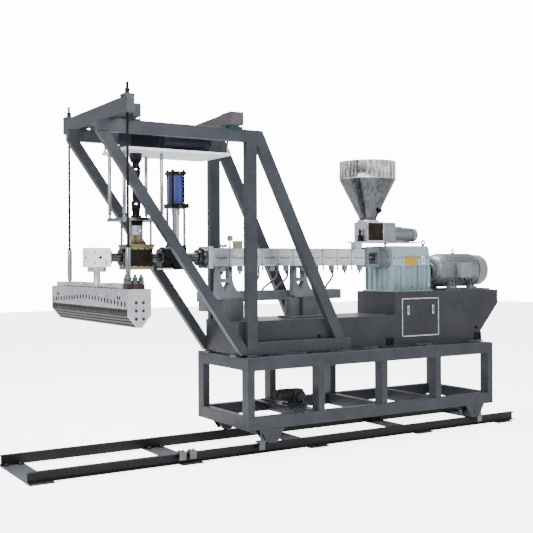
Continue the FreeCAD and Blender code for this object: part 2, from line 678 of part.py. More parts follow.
# ---- Gear case and main motor -----------------------------------------------------------------
def gear_case():
    """Ribbed lower casing with a foot flange and a plain upper band."""
    z = BED_HIGH_TOP
    half = GEAR_WIDTH / 2
    foot = centred(GEAR_LEFT + GEAR_LENGTH / 2, GEAR_LENGTH + 50, 0, GEAR_WIDTH + 50, z, GEAR_BASE)
    low = z + GEAR_BASE
    high = low + GEAR_LOWER_HEIGHT
    core = block((GEAR_LEFT + 14, GEAR_RIGHT - 26), (-half + 26, half - 26), (low, high))
    band = block((GEAR_LEFT, GEAR_RIGHT), (-half, half), (high, high + GEAR_BAND_HEIGHT))
    solids = [foot, core, band]
    for i in range(5):
        x = GEAR_LEFT + 8 + i * (GEAR_LENGTH - 34) / 4
        solids.append(block((x, x + 14), (-half + 4, half - 4), (low, high)))
    for y in (-half + 4, -half / 3, half / 3 - 12, half - 18):
        solids.append(block((GEAR_LEFT + 2, GEAR_LEFT + 16), (y, y + 14), (low, high)))
    return fuse(solids)


def gear_cover():
    """Upper cover of the gear case with its sloping motor end and a lifting eye."""
    z = BED_HIGH_TOP + GEAR_BASE + GEAR_LOWER_HEIGHT + GEAR_BAND_HEIGHT
    top = z + GEAR_COVER_HEIGHT
    points = [(GEAR_LEFT, z), (GEAR_RIGHT, z), (GEAR_RIGHT - 16, top - 24), (GEAR_RIGHT - 34, top),
              (GEAR_LEFT, top)]
    half = GEAR_WIDTH / 2
    cover = outline(points, -half, half)
    eye_x = GEAR_RIGHT - 50
    stem = rod((eye_x, -half + 60, top), (eye_x, -half + 60, top + 20), 9)
    eye = Part.makeTorus(20, 6, V(eye_x, -half + 60, top + 40), Y_AXIS)
    return fuse([cover, stem, eye])


def coupling_housing():
    """Lantern between barrel and gear case: side-open box, round flange and drum."""
    z = BARREL_AXIS_Z
    half = 105.0
    left = BARREL_RIGHT + 18
    body = block((left, GEAR_LEFT - 60), (-half, half), (z - 116, z + 116))
    window = block((left + 26, GEAR_LEFT - 86), (-half - 1, half + 1), (z - 78, z + 52))
    flange = rod((GEAR_LEFT - 60, 0, z), (GEAR_LEFT, 0, z), 128)
    neck = block((BARREL_RIGHT, left), (-half + 12, half - 12), (z - 88, z + 88))
    return fuse([body.cut(window), flange, neck])


def screw_shafts():
    """The two bright shaft ends that show in the lantern, with a split coupling sleeve."""
    z = BARREL_AXIS_Z
    left = BARREL_RIGHT + 44
    right = GEAR_LEFT - 86
    shafts = []
    for y in (-31.0, 31.0):
        bar = rod((left, y, z), (right, y, z), 17)
        sleeve = rod((left + 50, y, z), (left + 130, y, z), 28)
        shafts.append(fuse([bar, sleeve]))
    return shafts


def round_end_cover():
    """Round bearing cover on the near half of the gear case's front."""
    z = BARREL_AXIS_Z
    y = -138.0
    drum = rod((GEAR_LEFT - 46, y, z - 2), (GEAR_LEFT, y, z - 2), 112)
    clear = rod((GEAR_LEFT - 70, 0, z), (GEAR_LEFT + 1, 0, z), 130)
    return drum.cut(clear)


def motor_plate():
    """Dark slide plate under the motor."""
    return block((MOTOR_LEFT + 20, MOTOR_LEFT + 760), (-230, 230), (BED_HIGH_TOP, BED_HIGH_TOP + 18))


def main_motor():
    """Motor body with end bells, feet, shaft stub and lifting eye."""
    z = MOTOR_AXIS_Z
    x = MOTOR_LEFT
    low = BED_HIGH_TOP + 18
    bell = rod((x, 0, z), (x + MOTOR_BELL_LENGTH, 0, z), MOTOR_RADIUS - 8)
    nose = rod((x - 30, 0, z), (x, 0, z), 150)
    body = rod((x + MOTOR_BELL_LENGTH, 0, z), (x + MOTOR_BODY_LENGTH, 0, z), MOTOR_RADIUS)
    shaft = rod((GEAR_RIGHT, 0, z), (x - 30, 0, z), 45)
    solids = [bell, nose, body, shaft]
    for y in (-178.0, 178.0):
        for foot_x in (x + 170, x + 500):
            solids.append(centred(foot_x, 110, y, 80, low, 26))
            solids.append(centred(foot_x, 60, y * 0.86, 40, low + 20, 150))
    top = z + MOTOR_RADIUS
    solids.append(rod((x + 360, 0, top - 8), (x + 360, 0, top + 22), 10))
    solids.append(Part.makeTorus(22, 6, V(x + 360, 0, top + 44), Y_AXIS))
    return fuse(solids)


def fan_cover():
    """Round cover over the motor's fan."""
    x = MOTOR_LEFT + MOTOR_BODY_LENGTH
    z = MOTOR_AXIS_Z
    drum = rod((x, 0, z), (x + FAN_COVER_LENGTH, 0, z), FAN_COVER_RADIUS)
    cap = rod((x + FAN_COVER_LENGTH, 0, z), (x + FAN_COVER_LENGTH + 30, 0, z), FAN_COVER_RADIUS - 40)
    return fuse([drum, cap])


def motor_terminal_box():
    """Terminal box on the near side of the motor."""
    z = MOTOR_AXIS_Z
    x = MOTOR_LEFT + 235
    near = -MOTOR_RADIUS - 60
    box = block((x, x + 200), (near, -120), (z - 92, z + 92))
    clear = rod((x - 1, 0, z), (x + 201, 0, z), MOTOR_RADIUS + RUNNING_GAP)
    return box.cut(clear)


# ---- Feeding ----------------------------------------------------------------------------------
def feed_hopper():
    """Thin round hopper: cylinder above a cone, with an outlet collar."""
    wall = HOPPER_WALL
    profile = [(HOPPER_OUTLET_RADIUS, HOPPER_OUTLET_Z), (HOPPER_OUTLET_RADIUS, HOPPER_OUTLET_Z + 24),
               (HOPPER_RADIUS, HOPPER_SHOULDER_Z), (HOPPER_RADIUS, HOPPER_TOP_Z),
               (HOPPER_RADIUS - wall, HOPPER_TOP_Z), (HOPPER_RADIUS - wall, HOPPER_SHOULDER_Z),
               (HOPPER_OUTLET_RADIUS - wall, HOPPER_OUTLET_Z + 26),
               (HOPPER_OUTLET_RADIUS - wall, HOPPER_OUTLET_Z)]
    return revolve(profile, (HOPPER_X, 0))


def feeder_housing():
    """Square stainless feeder box with a round throat plate and the deck plate under it."""
    low = FEEDER_PLATE_Z + FEEDER_PLATE
    box = centred(HOPPER_X + 20, FEEDER_BOX_LENGTH, 0, FEEDER_BOX_WIDTH, low,
                  HOPPER_OUTLET_Z - 20 - low)
    collar = rod((HOPPER_X, 0, HOPPER_OUTLET_Z - 20), (HOPPER_X, 0, HOPPER_OUTLET_Z), 124)
    throat_x = BARREL_RIGHT - FEED_THROAT / 2 - 8
    deck = block((throat_x - FEED_THROAT / 2, HOPPER_X + 695), (-125, 125), (FEEDER_PLATE_Z, low))
    throat = centred(throat_x, FEED_THROAT, 0, FEED_THROAT, COVER_TOP, FEEDER_PLATE_Z - COVER_TOP)
    return fuse([box, collar, deck, throat])


def feeder_gearbox():
    """Blue-grey gearbox beside the feeder box."""
    low = FEEDER_PLATE_Z + FEEDER_PLATE
    x = HOPPER_X + 20 + FEEDER_BOX_LENGTH / 2
    return centred(x + 95, 190, 0, 220, low, 226)


def feeder_motor():
    """Small horizontal motor on the feeder gearbox."""
    low = FEEDER_PLATE_Z + FEEDER_PLATE
    x = HOPPER_X + 20 + FEEDER_BOX_LENGTH / 2 + 190
    z = low + 88
    body = rod((x, 0, z), (x + 265, 0, z), 72)
    fan = rod((x + 265, 0, z), (x + 335, 0, z), 66)
    foot = centred(x + 110, 120, 0, 110, low, 30)
    return fuse([body, fan, foot])


# ---- Gantry -----------------------------------------------------------------------------------
def gantry_top_beam():
    """Near top beam of the gantry's side truss."""
    return block((GANTRY_LEFT, GANTRY_POST_X + GANTRY_TUBE_DEEP / 2), (-GANTRY_OUTER, -GANTRY_INNER),
                 (GANTRY_BEAM_BOTTOM, GANTRY_TOP_Z))


def gantry_post():
    """Near post from the carriage up to the top beam."""
    return block((GANTRY_POST_X - GANTRY_TUBE_DEEP / 2, GANTRY_POST_X + GANTRY_TUBE_DEEP / 2),
                 (-GANTRY_OUTER, -GANTRY_INNER), (BED_BOTTOM, GANTRY_BEAM_BOTTOM))


def sloping_tube(low, high, width):
    """Near-side tube whose left edge runs from low up to high, both (x, z), cut level at the ends."""
    run = high[0] - low[0]
    rise = high[1] - low[1]
    level = width * math.hypot(run, rise) / rise
    points = [low, (low[0] + level, low[1]), (high[0] + level, high[1]), high]
    return outline(points, -GANTRY_OUTER, -GANTRY_INNER)


def front_brace():
    """Long brace from the gantry's overhanging end down to the foot of its post."""
    post_left = GANTRY_POST_X - GANTRY_TUBE_DEEP / 2
    low = (post_left - FRONT_BRACE_REACH, BED_BOTTOM)
    tube = sloping_tube(low, (GANTRY_LEFT, GANTRY_BEAM_BOTTOM), GANTRY_BRACE_DEEP)
    beside_post = block((GANTRY_LEFT, post_left), (-GANTRY_OUTER - 1, -GANTRY_INNER + 1),
                        (BED_BOTTOM, GANTRY_BEAM_BOTTOM))
    return tube.common(beside_post)


def rear_brace():
    """Brace from the post's head down to the sole beam's motor end."""
    post_right = GANTRY_POST_X + GANTRY_TUBE_DEEP / 2
    low = (SOLE_RIGHT - REAR_BRACE_FOOT, SOLE_TOP)
    tube = sloping_tube(low, (post_right - REAR_BRACE_HEAD, GANTRY_TOP_Z), GANTRY_TUBE_DEEP)
    beside_post = block((post_right, SOLE_RIGHT), (-GANTRY_OUTER - 1, -GANTRY_INNER + 1),
                        (SOLE_TOP, GANTRY_TOP_Z))
    return tube.common(beside_post)


def sole_beam():
    """Beam along the bed's side that the rear brace stands on."""
    return block((GANTRY_POST_X + GANTRY_TUBE_DEEP / 2, SOLE_RIGHT), (-GANTRY_OUTER, -GANTRY_INNER),
                 (BED_BOTTOM, SOLE_TOP))


def die_crossbeam():
    """Crossbeam at the gantry's end that the die hangs from, with a pad at each rod."""
    beam = centred(DIE_X, CROSSBEAM_WIDE, 0, DIE_BEAM_LENGTH, GANTRY_TOP_Z, CROSSBEAM_DEEP)
    solids = [beam]
    for y in (-DIE_HANGER_Y, DIE_HANGER_Y):
        solids.append(centred(DIE_X, CROSSBEAM_WIDE + 20, y, 110, GANTRY_TOP_Z + CROSSBEAM_DEEP, 22))
    shape = fuse(solids)
    for y in (-DIE_HANGER_Y, DIE_HANGER_Y):
        hole = rod((DIE_X, y, GANTRY_TOP_Z - 1), (DIE_X, y, GANTRY_TOP_Z + CROSSBEAM_DEEP + 40),
                   HANGER_ROD_RADIUS + 1)
        shape = shape.cut(hole)
    return shape


def platform_crossbeam():
    """Second crossbeam, over the die end of the pump drive's platform, on foot plates."""
    z = GANTRY_TOP_Z
    beam = centred(PLATFORM_BEAM_X, CROSSBEAM_WIDE, 0, PLATFORM_BEAM_LENGTH, z + BEAM_FOOT,
                   CROSSBEAM_DEEP - 2 * BEAM_FOOT)
    feet = [centred(PLATFORM_BEAM_X + 20, CROSSBEAM_WIDE + 60, side * GANTRY_MIDDLE, 90, z, BEAM_FOOT)
            for side in (-1, 1)]
    return fuse([beam] + feet)


def rear_crossbeam():
    """Wide crossbeam near the post, cut down towards its far end."""
    z = GANTRY_TOP_Z + SHIM
    half = REAR_BEAM_LENGTH / 2
    top = z + REAR_BEAM_DEEP
    points = [(-half, z), (half, z), (half, top - 40), (half - 180, top - 40), (-half + 260, top - 14),
              (-half + 170, top), (-half, top)]
    return outline(points, REAR_BEAM_X - REAR_BEAM_WIDE / 2, REAR_BEAM_X + REAR_BEAM_WIDE / 2, "yz")


def shim_plates():
    """Plates between the rear crossbeam and the side trusses."""
    return [centred(REAR_BEAM_X + SHIM_OFFSET, REAR_BEAM_WIDE, side * GANTRY_MIDDLE, GANTRY_TUBE_WIDE,
                    GANTRY_TOP_Z, SHIM) for side in (-1, 1)]


# ---- Pump drive -------------------------------------------------------------------------------
def platform_hanger_points():
    """(x, y, z of the beam's underside) of the four rods of the pump drive's platform."""
    y = PLATFORM_WIDTH / 2 - 30
    left = PLATFORM_BEAM_X + 20
    right = REAR_BEAM_X + 20
    return ([(left, side * y, GANTRY_TOP_Z + BEAM_FOOT) for side in (-1, 1)]
            + [(right, side * y, GANTRY_TOP_Z + SHIM) for side in (-1, 1)])


def pump_platform():
    """White platform plate with a turned-down lip, hung between the side trusses."""
    low = PLATFORM_TOP_Z - PLATFORM_PLATE
    half = PLATFORM_WIDTH / 2
    plate = block((PLATFORM_LEFT - 30, PLATFORM_RIGHT + 40), (-half, half), (low, PLATFORM_TOP_Z))
    hole = rod((PUMP_X, 0, low - 1), (PUMP_X, 0, PLATFORM_TOP_Z + 1), 70)
    return plate.cut(hole)


def platform_hangers():
    """Threaded rods with nuts between the platform and the crossbeams."""
    rods = []
    for x, y, top in platform_hanger_points():
        bar = rod((x, y, PLATFORM_TOP_Z), (x, y, top), 10)
        nut = rod((x, y, PLATFORM_TOP_Z), (x, y, PLATFORM_TOP_Z + 16), 17)
        rods.append(fuse([bar, nut]))
    return rods


def pump_gearbox():
    """Finned bevel gear case on the platform with its output boss through it."""
    z = PLATFORM_TOP_Z
    case = block((PUMP_X - 120, PUMP_X + 260), (-150, 150), (z, z + 230))
    boss = rod((PUMP_X, 0, z - PLATFORM_PLATE - GEAR_BOSS), (PUMP_X, 0, z), 62)
    return fuse([case, boss])


def pump_motor():
    """Dark blue horizontal motor beside the pump gear case."""
    z = PLATFORM_TOP_Z
    x = PUMP_X + 260
    body = rod((x, 0, z + 128), (x + 470, 0, z + 128), 110)
    fan = rod((x + 470, 0, z + 128), (x + 560, 0, z + 128), 102)
    feet = centred(x + 230, 240, 0, 180, z, 40)
    return fuse([body, fan, feet])


DRIVE_SHAFT_TOP = PLATFORM_TOP_Z - PLATFORM_PLATE - GEAR_BOSS - RUNNING_GAP
DRIVE_SHAFT_FOOT = SUPPORT_PLATE_Z + SUPPORT_PLATE + RUNNING_GAP


def drive_shaft():
    """Upright shaft with two universal joints and end flanges."""
    x = PUMP_X
    low = DRIVE_SHAFT_FOOT
    high = DRIVE_SHAFT_TOP
    solids = [rod((x, 0, low), (x, 0, high), SHAFT_RADIUS - 6)]
    for z, radius, height in ((low, 52, 26), (low + 60, 40, 60), (low + 190, 46, 60),
                              (low + 300, 36, 90), (high - 230, 44, 60), (high - 110, 46, 40),
                              (high - 40, 56, 40)):
        solids.append(rod((x, 0, z), (x, 0, z + height), radius))
    return fuse(solids)


def pump_support_plate():
    """Silver plate over the pump with the drive's bearing flange under it."""
    z = SUPPORT_PLATE_Z
    plate = centred(SUPPORT_PLATE_X, SUPPORT_PLATE_LENGTH, 0, SUPPORT_PLATE_WIDTH, z, SUPPORT_PLATE)
    return plate


def column_points():
    """(x, y) of the four columns of the pump's support plate."""
    half = COLUMN_SPACING / 2
    return [(PUMP_X + sx * half, sy * half) for sx in (-1, 1) for sy in (-1, 1)]


def pump_columns():
    """Columns from the pump's top plate up to the support plate."""
    low = PUMP_TOP + BRASS_PLATE + 10
    return [rod((x, y, low), (x, y, SUPPORT_PLATE_Z), COLUMN_RADIUS) for x, y in column_points()]


def support_rods():
    """Long silver rods from the support plate up to the platform."""
    high = PLATFORM_TOP_Z - PLATFORM_PLATE
    low = SUPPORT_PLATE_Z + SUPPORT_PLATE
    dx = SUPPORT_PLATE_LENGTH / 2 - 24
    dy = SUPPORT_PLATE_WIDTH / 2 - 24
    rods = []
    for sx in (-1, 1):
        for sy in (-1, 1):
            x = SUPPORT_PLATE_X + sx * dx
            bar = rod((x, sy * dy, low), (x, sy * dy, high), 11)
            nut = rod((x, sy * dy, low), (x, sy * dy, low + 14), 18)
            rods.append(fuse([bar, nut]))
    return rods


def pump_adapter():
    """Black flange, bright coupling and ribbed brass adapter between plate and pump."""
    x = PUMP_X
    z = SUPPORT_PLATE_Z
    low = PUMP_TOP + BRASS_PLATE + 10
    flange = rod((x, 0, z - 40), (x, 0, z), 70)
    coupling = rod((x, 0, z - 140), (x, 0, z - 40), 44)
    return fuse([flange, coupling, rod((x, 0, low), (x, 0, z - 140), 60)])


def pump_plates():
    """Brass plates above and below the pump body."""
    size = PUMP_SIZE + 30
    high = centred(PUMP_X, size, 0, size, PUMP_TOP, BRASS_PLATE + 10)
    low = centred(PUMP_X, size - 20, 0, size - 20, PUMP_BOTTOM - BRASS_PLATE, BRASS_PLATE)
    return [high, low]


def melt_pump():
    """Heated gear pump body."""
    return centred(PUMP_X, PUMP_SIZE, 0, PUMP_SIZE, PUMP_BOTTOM, PUMP_HEIGHT)


def melt_pipes():
    """Flanged pipes on both sides of the pump."""
    z = BARREL_AXIS_Z
    left = PUMP_X - PUMP_SIZE / 2
    right = PUMP_X + PUMP_SIZE / 2
    feed_right = DIE_X + 110
    outlet = fuse([rod((feed_right, 0, z), (left, 0, z), 44),
                   rod((feed_right, 0, z), (feed_right + 24, 0, z), 84),
                   rod((left - 50, 0, z), (left, 0, z), 88)])
    inlet = fuse([rod((right, 0, z), (SCREEN_X - 170, 0, z), 42),
                  rod((SCREEN_X - 196, 0, z), (SCREEN_X - 170, 0, z), 90)])
    return [outlet, inlet]


# ---- Screen changer ---------------------------------------------------------------------------
def screen_body():
    """Screen changer block with the slot of its slide, and a round shielded inlet."""
    z = BARREL_AXIS_Z
    block_shape = centred(SCREEN_X, 150, 0, 190, z - 125, 250)
    slot = centred(SCREEN_X, SCREEN_SLIDE_THICKNESS + 2 * RUNNING_GAP, 0,
                   SCREEN_SLIDE_WIDTH + 2 * RUNNING_GAP, z - 130, 260)
    inlet = rod((SCREEN_X - 170, 0, z), (SCREEN_X - 75, 0, z), 108)
    return fuse([block_shape.cut(slot), inlet])


def screen_columns():
    """Columns between the screen changer block and the cylinder's base plate."""
    low = BARREL_AXIS_Z + 125
    return [rod((SCREEN_X + sx * 58, sy * 78, low), (SCREEN_X + sx * 58, sy * 78, CYLINDER_BASE_Z), 13)
            for sx in (-1, 1) for sy in (-1, 1)]


def screen_slide():
    """Slide plate of the screen changer with its yoke and the cylinder's rod."""
    x = SCREEN_X
    yoke_top = CYLINDER_BASE_Z - MOVING_GAP
    slide_top = yoke_top - 60
    slide = centred(x, SCREEN_SLIDE_THICKNESS, 0, SCREEN_SLIDE_WIDTH, BARREL_AXIS_Z - 110,
                    slide_top - BARREL_AXIS_Z + 110)
    yoke = rod((x, 0, slide_top), (x, 0, yoke_top), 42)
    piston = rod((x, 0, yoke_top), (x, 0, CYLINDER_BASE_Z + CYLINDER_BASE_PLATE + CYLINDER_LENGTH - 40),
                 PISTON_ROD_RADIUS)
    return fuse([slide, yoke, piston])


def cylinder_plates():
    """Square base and head plates of the hydraulic cylinder, with the tie rods between them."""
    x = SCREEN_X
    low = CYLINDER_BASE_Z
    high = low + CYLINDER_BASE_PLATE + CYLINDER_LENGTH
    bore = rod((x, 0, low - 1), (x, 0, low + CYLINDER_BASE_PLATE + 1), PISTON_ROD_RADIUS + RUNNING_GAP)
    base = centred(x + 8, CYLINDER_BASE_SIZE, 0, CYLINDER_BASE_SIZE, low, CYLINDER_BASE_PLATE)
    head = centred(x, CYLINDER_HEAD_SIZE, 0, CYLINDER_HEAD_SIZE, high, CYLINDER_HEAD_PLATE)
    solids = [base.cut(bore), head]
    half = TIE_ROD_SPACING / 2
    for sx in (-1, 1):
        for sy in (-1, 1):
            foot = (x + sx * half, sy * half, low + CYLINDER_BASE_PLATE)
            tip = (foot[0], foot[1], high + CYLINDER_HEAD_PLATE + TIE_ROD_END)
            solids.append(rod(foot, tip, TIE_ROD_RADIUS))
    return fuse(solids)


def cylinder_tube():
    """Blue tube of the hydraulic cylinder."""
    low = CYLINDER_BASE_Z + CYLINDER_BASE_PLATE
    x = SCREEN_X
    return ring((x, 0, low), (x, 0, low + CYLINDER_LENGTH), CYLINDER_RADIUS, CYLINDER_RADIUS - CYLINDER_WALL)


def drip_tray():
    """White tray under the screen changer's inlet."""
    z = BARREL_AXIS_Z - 108
    return centred(SCREEN_X - 125, 90, 0, 180, z - 14, 14)


# ---- Sheet die --------------------------------------------------------------------------------
def feed_block():
    """White covered feed block between pump and die."""
    return centred(DIE_X, 220, 0, 200, BARREL_AXIS_Z - 95, 190)


def die_neck():
    """Silver flange and neck from the feed block down to the die."""
    low = DIE_TOP_Z
    high = BARREL_AXIS_Z - 95
    flange = rod((DIE_X, 0, high - 45), (DIE_X, 0, high), 92)
    neck = rod((DIE_X, 0, low + 26), (DIE_X, 0, high - 45), 34)
    foot = rod((DIE_X, 0, low), (DIE_X, 0, low + 26), 66)
    return fuse([flange, neck, foot])


def die_body():
    """Upper die body, as long as the sheet is wide, with tapered shoulders."""
    half = DIE_WIDTH / 2
    length = DIE_LENGTH / 2 - DIE_END_PLATE
    points = [(DIE_X - half, DIE_SHOULDER_Z), (DIE_X + half, DIE_SHOULDER_Z),
              (DIE_X + half, DIE_TOP_Z), (DIE_X - half, DIE_TOP_Z)]
    return outline(points, -length, length)


def die_lips():
    """Lower part of the die that narrows to the lips."""
    half = DIE_WIDTH / 2 - 6
    length = DIE_LENGTH / 2 - DIE_END_PLATE
    points = [(DIE_X - half, DIE_SHOULDER_Z), (DIE_X - half, DIE_SHOULDER_Z - 50),
              (DIE_X - 18, DIE_LIP_Z), (DIE_X + 18, DIE_LIP_Z), (DIE_X + half, DIE_SHOULDER_Z - 50),
              (DIE_X + half, DIE_SHOULDER_Z)]
    return outline(points, -length, length)


def die_end_plates():
    """Pointed end plates with two columns of screw holes."""
    half = DIE_WIDTH / 2
    y = DIE_LENGTH / 2
    points = [(DIE_X - half, DIE_TOP_Z), (DIE_X + half, DIE_TOP_Z), (DIE_X + half, DIE_SHOULDER_Z - 56),
              (DIE_X + 18, DIE_LIP_Z), (DIE_X - 18, DIE_LIP_Z), (DIE_X - half, DIE_SHOULDER_Z - 56)]
    plate = outline(points, -y, -y + DIE_END_PLATE)
    for dx in (-36, 36):
        for i in range(3):
            z = DIE_SHOULDER_Z + 70 - i * 74
            hole = rod((DIE_X + dx, -y - 1, z), (DIE_X + dx, -y + 12, z), 13)
            plate = plate.cut(hole)
    return both_sides([plate])


def die_cover_plates():
    """Raised plates on top of the die beside the neck."""
    return both_sides([block((DIE_X - 80, DIE_X + 80), (-700, -140), (DIE_TOP_Z, DIE_TOP_Z + 16))])


def die_connectors():
    """Heater connectors on top of the die at its service end: three across it and one behind."""
    solids = []
    for x, y in CONNECTOR_PLACES:
        solids.append(fuse([centred(x, 54, y, 48, DIE_TOP_Z, 42),
                            rod((x, y, DIE_TOP_Z + 42), (x, y, DIE_TOP_Z + 130), 17)]))
    return solids


def die_hangers():
    """Hanging rods of the die: threaded upper rod, turnbuckle post and foot."""
    top = GANTRY_TOP_Z + CROSSBEAM_DEEP + 22
    y = -DIE_HANGER_Y
    low = DIE_TOP_Z
    solids = [rod((DIE_X, y, low), (DIE_X, y, top + 110), HANGER_ROD_RADIUS),
              rod((DIE_X, y, low), (DIE_X, y, low + 24), 40),
              rod((DIE_X, y, low + 60), (DIE_X, y, low + 370), 24),
              rod((DIE_X, y, top), (DIE_X, y, top + 26), 24)]
    return both_sides([fuse(solids)])


# ---- Nodes ------------------------------------------------------------------------------------
NODES = {
    "rails": both_sides([near_rail()]),
    "tie_plates": tie_plates(),
    "rail_stops": rail_stops(),
    "carriage_side_beams": both_sides([side_beam(FRAME_BOTTOM),
                                       side_beam(FRAME_TOP - CARRIAGE_TUBE_DEEP)]),
    "carriage_posts": carriage_posts(),
    "carriage_cross_members": cross_members(),
    "wheel_brackets": both_sides([wheel_bracket(WHEEL_LEFT_X), wheel_bracket(WHEEL_RIGHT_X)])
    + idler_pins(),
    "guide_shoes": guide_shoes(),
    "drive_wheelset": [drive_wheelset()],
    "idler_wheel_near": [idler_wheel(-1)],
    "idler_wheel_far": [idler_wheel(1)],
    "travel_drive": drive_deck() + travel_drive(),
    "support_pads": support_pads() + [motor_plate()],
    "machine_bed": [machine_bed()],
    "access_panel": [access_panel()],
    "panel_trim": [panel_trim()],
    "lifting_lugs": lifting_lugs(),
    "barrel_core": [barrel_core(), barrel_flange()],
    "heater_covers": heater_covers(),
    "barrel_adapter": [barrel_adapter()],
    "barrel_supports": [barrel_support(SUPPORT_A_X), barrel_support(SUPPORT_B_X)],
    "support_pedestals": support_pedestals(),
    "wiring_trough": wiring_trough(),
    "heater_conduits": heater_conduits(),
    "barrel_instruments": vent_port() + [pressure_gauge()],
    "gear_case": [gear_case()],
    "gear_cover": [gear_cover()],
    "coupling_housing": [coupling_housing(), round_end_cover()],
    "screw_shafts": screw_shafts(),
    "main_motor": [main_motor()],
    "motor_terminal_box": [motor_terminal_box()],
    "fan_cover": [fan_cover()],
    "feed_hopper": [feed_hopper()],
    "feeder_housing": [feeder_housing()],
    "feeder_drive": [feeder_gearbox(), feeder_motor()],
    "gantry_posts": both_sides([gantry_post()]),
    "gantry_top_beams": both_sides([gantry_top_beam()]),
    "gantry_front_braces": both_sides([front_brace()]),
    "gantry_rear_braces": both_sides([rear_brace()]),
    "gantry_sole_beams": both_sides([sole_beam()]),
    "gantry_crossbeams": [die_crossbeam(), platform_crossbeam(), rear_crossbeam()],
    "shim_plates": shim_plates(),
    "pump_platform": [pump_platform()] + platform_hangers(),
    "pump_drive": [pump_gearbox(), pump_motor()],
    "drive_shaft": [drive_shaft()],
    "pump_frame": [pump_support_plate()] + pump_columns() + support_rods(),
    "melt_pump": [melt_pump(), pump_adapter()] + pump_plates() + melt_pipes(),
    "screen_changer": [screen_body(), drip_tray()] + screen_columns(),
    "screen_slide": [screen_slide()],
    "screen_cylinder": [cylinder_plates(), cylinder_tube()],
    "feed_block": [feed_block(), die_neck()],
    "die_body": [die_body()] + die_cover_plates(),
    "die_lips": [die_lips()],
    "die_end_plates": die_end_plates(),
    "die_connectors": die_connectors(),
    "die_hangers": die_hangers(),
}


def main():
    """Write one STEP file per node."""
    os.makedirs("parts", exist_ok=True)
    for name, solids in NODES.items():
        shape = solids[0] if len(solids) == 1 else Part.makeCompound(solids)
        shape.exportStep("parts/" + name + ".step")


main()
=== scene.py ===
"""Looks of the rail-mounted plastic extruder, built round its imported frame.

Shapes are drawn in millimetres in the frame of the CAD model: +X runs from the die end to the motor end, +Y away
from the side with the access panel, +Z up. Places come from the frame's own boxes. make_piece turns a shape into
metres; the studio is in metres.
"""

import json
import logging
import math
from dataclasses import dataclass
from enum import Enum
from functools import cache
from itertools import product
from typing import Callable, Iterable, Optional, Sequence

import bmesh
import bpy
import numpy as np
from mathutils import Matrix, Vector

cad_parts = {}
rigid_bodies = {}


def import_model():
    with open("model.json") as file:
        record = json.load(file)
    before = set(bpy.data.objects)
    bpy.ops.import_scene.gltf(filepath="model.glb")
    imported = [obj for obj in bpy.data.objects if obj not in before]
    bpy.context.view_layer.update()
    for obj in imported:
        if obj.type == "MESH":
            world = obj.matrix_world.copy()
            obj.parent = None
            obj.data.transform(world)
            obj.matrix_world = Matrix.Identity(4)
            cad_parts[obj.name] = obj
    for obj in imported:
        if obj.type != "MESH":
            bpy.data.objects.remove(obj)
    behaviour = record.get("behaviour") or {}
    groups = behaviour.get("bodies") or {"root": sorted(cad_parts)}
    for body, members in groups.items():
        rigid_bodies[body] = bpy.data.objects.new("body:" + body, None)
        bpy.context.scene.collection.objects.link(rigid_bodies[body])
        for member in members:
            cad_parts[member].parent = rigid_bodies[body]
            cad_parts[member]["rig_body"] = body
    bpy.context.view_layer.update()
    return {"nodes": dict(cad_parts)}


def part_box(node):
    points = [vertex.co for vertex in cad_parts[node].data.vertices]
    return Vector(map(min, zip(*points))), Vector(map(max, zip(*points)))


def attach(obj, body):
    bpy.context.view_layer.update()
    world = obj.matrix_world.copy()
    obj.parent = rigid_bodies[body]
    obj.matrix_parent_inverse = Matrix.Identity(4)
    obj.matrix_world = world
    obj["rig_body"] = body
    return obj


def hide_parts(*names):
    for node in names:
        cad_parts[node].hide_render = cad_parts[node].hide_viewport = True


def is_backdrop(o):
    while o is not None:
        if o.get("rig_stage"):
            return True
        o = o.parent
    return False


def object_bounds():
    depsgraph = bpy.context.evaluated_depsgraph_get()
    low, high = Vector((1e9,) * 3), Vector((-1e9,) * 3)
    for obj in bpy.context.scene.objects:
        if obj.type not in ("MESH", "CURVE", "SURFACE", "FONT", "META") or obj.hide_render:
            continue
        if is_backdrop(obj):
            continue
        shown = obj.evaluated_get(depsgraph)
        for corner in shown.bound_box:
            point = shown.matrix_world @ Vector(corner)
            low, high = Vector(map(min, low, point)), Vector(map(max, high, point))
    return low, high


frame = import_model()
LOG = logging.getLogger("extruder")
FULL_TURN = 2 * math.pi
MM = 0.001
Point = Sequence[float]


class Axis(Enum):
    """A direction along which a tube runs or a grain is drawn."""

    X = (1.0, 0.0, 0.0)
    Y = (0.0, 1.0, 0.0)
    Z = (0.0, 0.0, 1.0)
    MINUS_X = (-1.0, 0.0, 0.0)
    MINUS_Y = (0.0, -1.0, 0.0)
    MINUS_Z = (0.0, 0.0, -1.0)


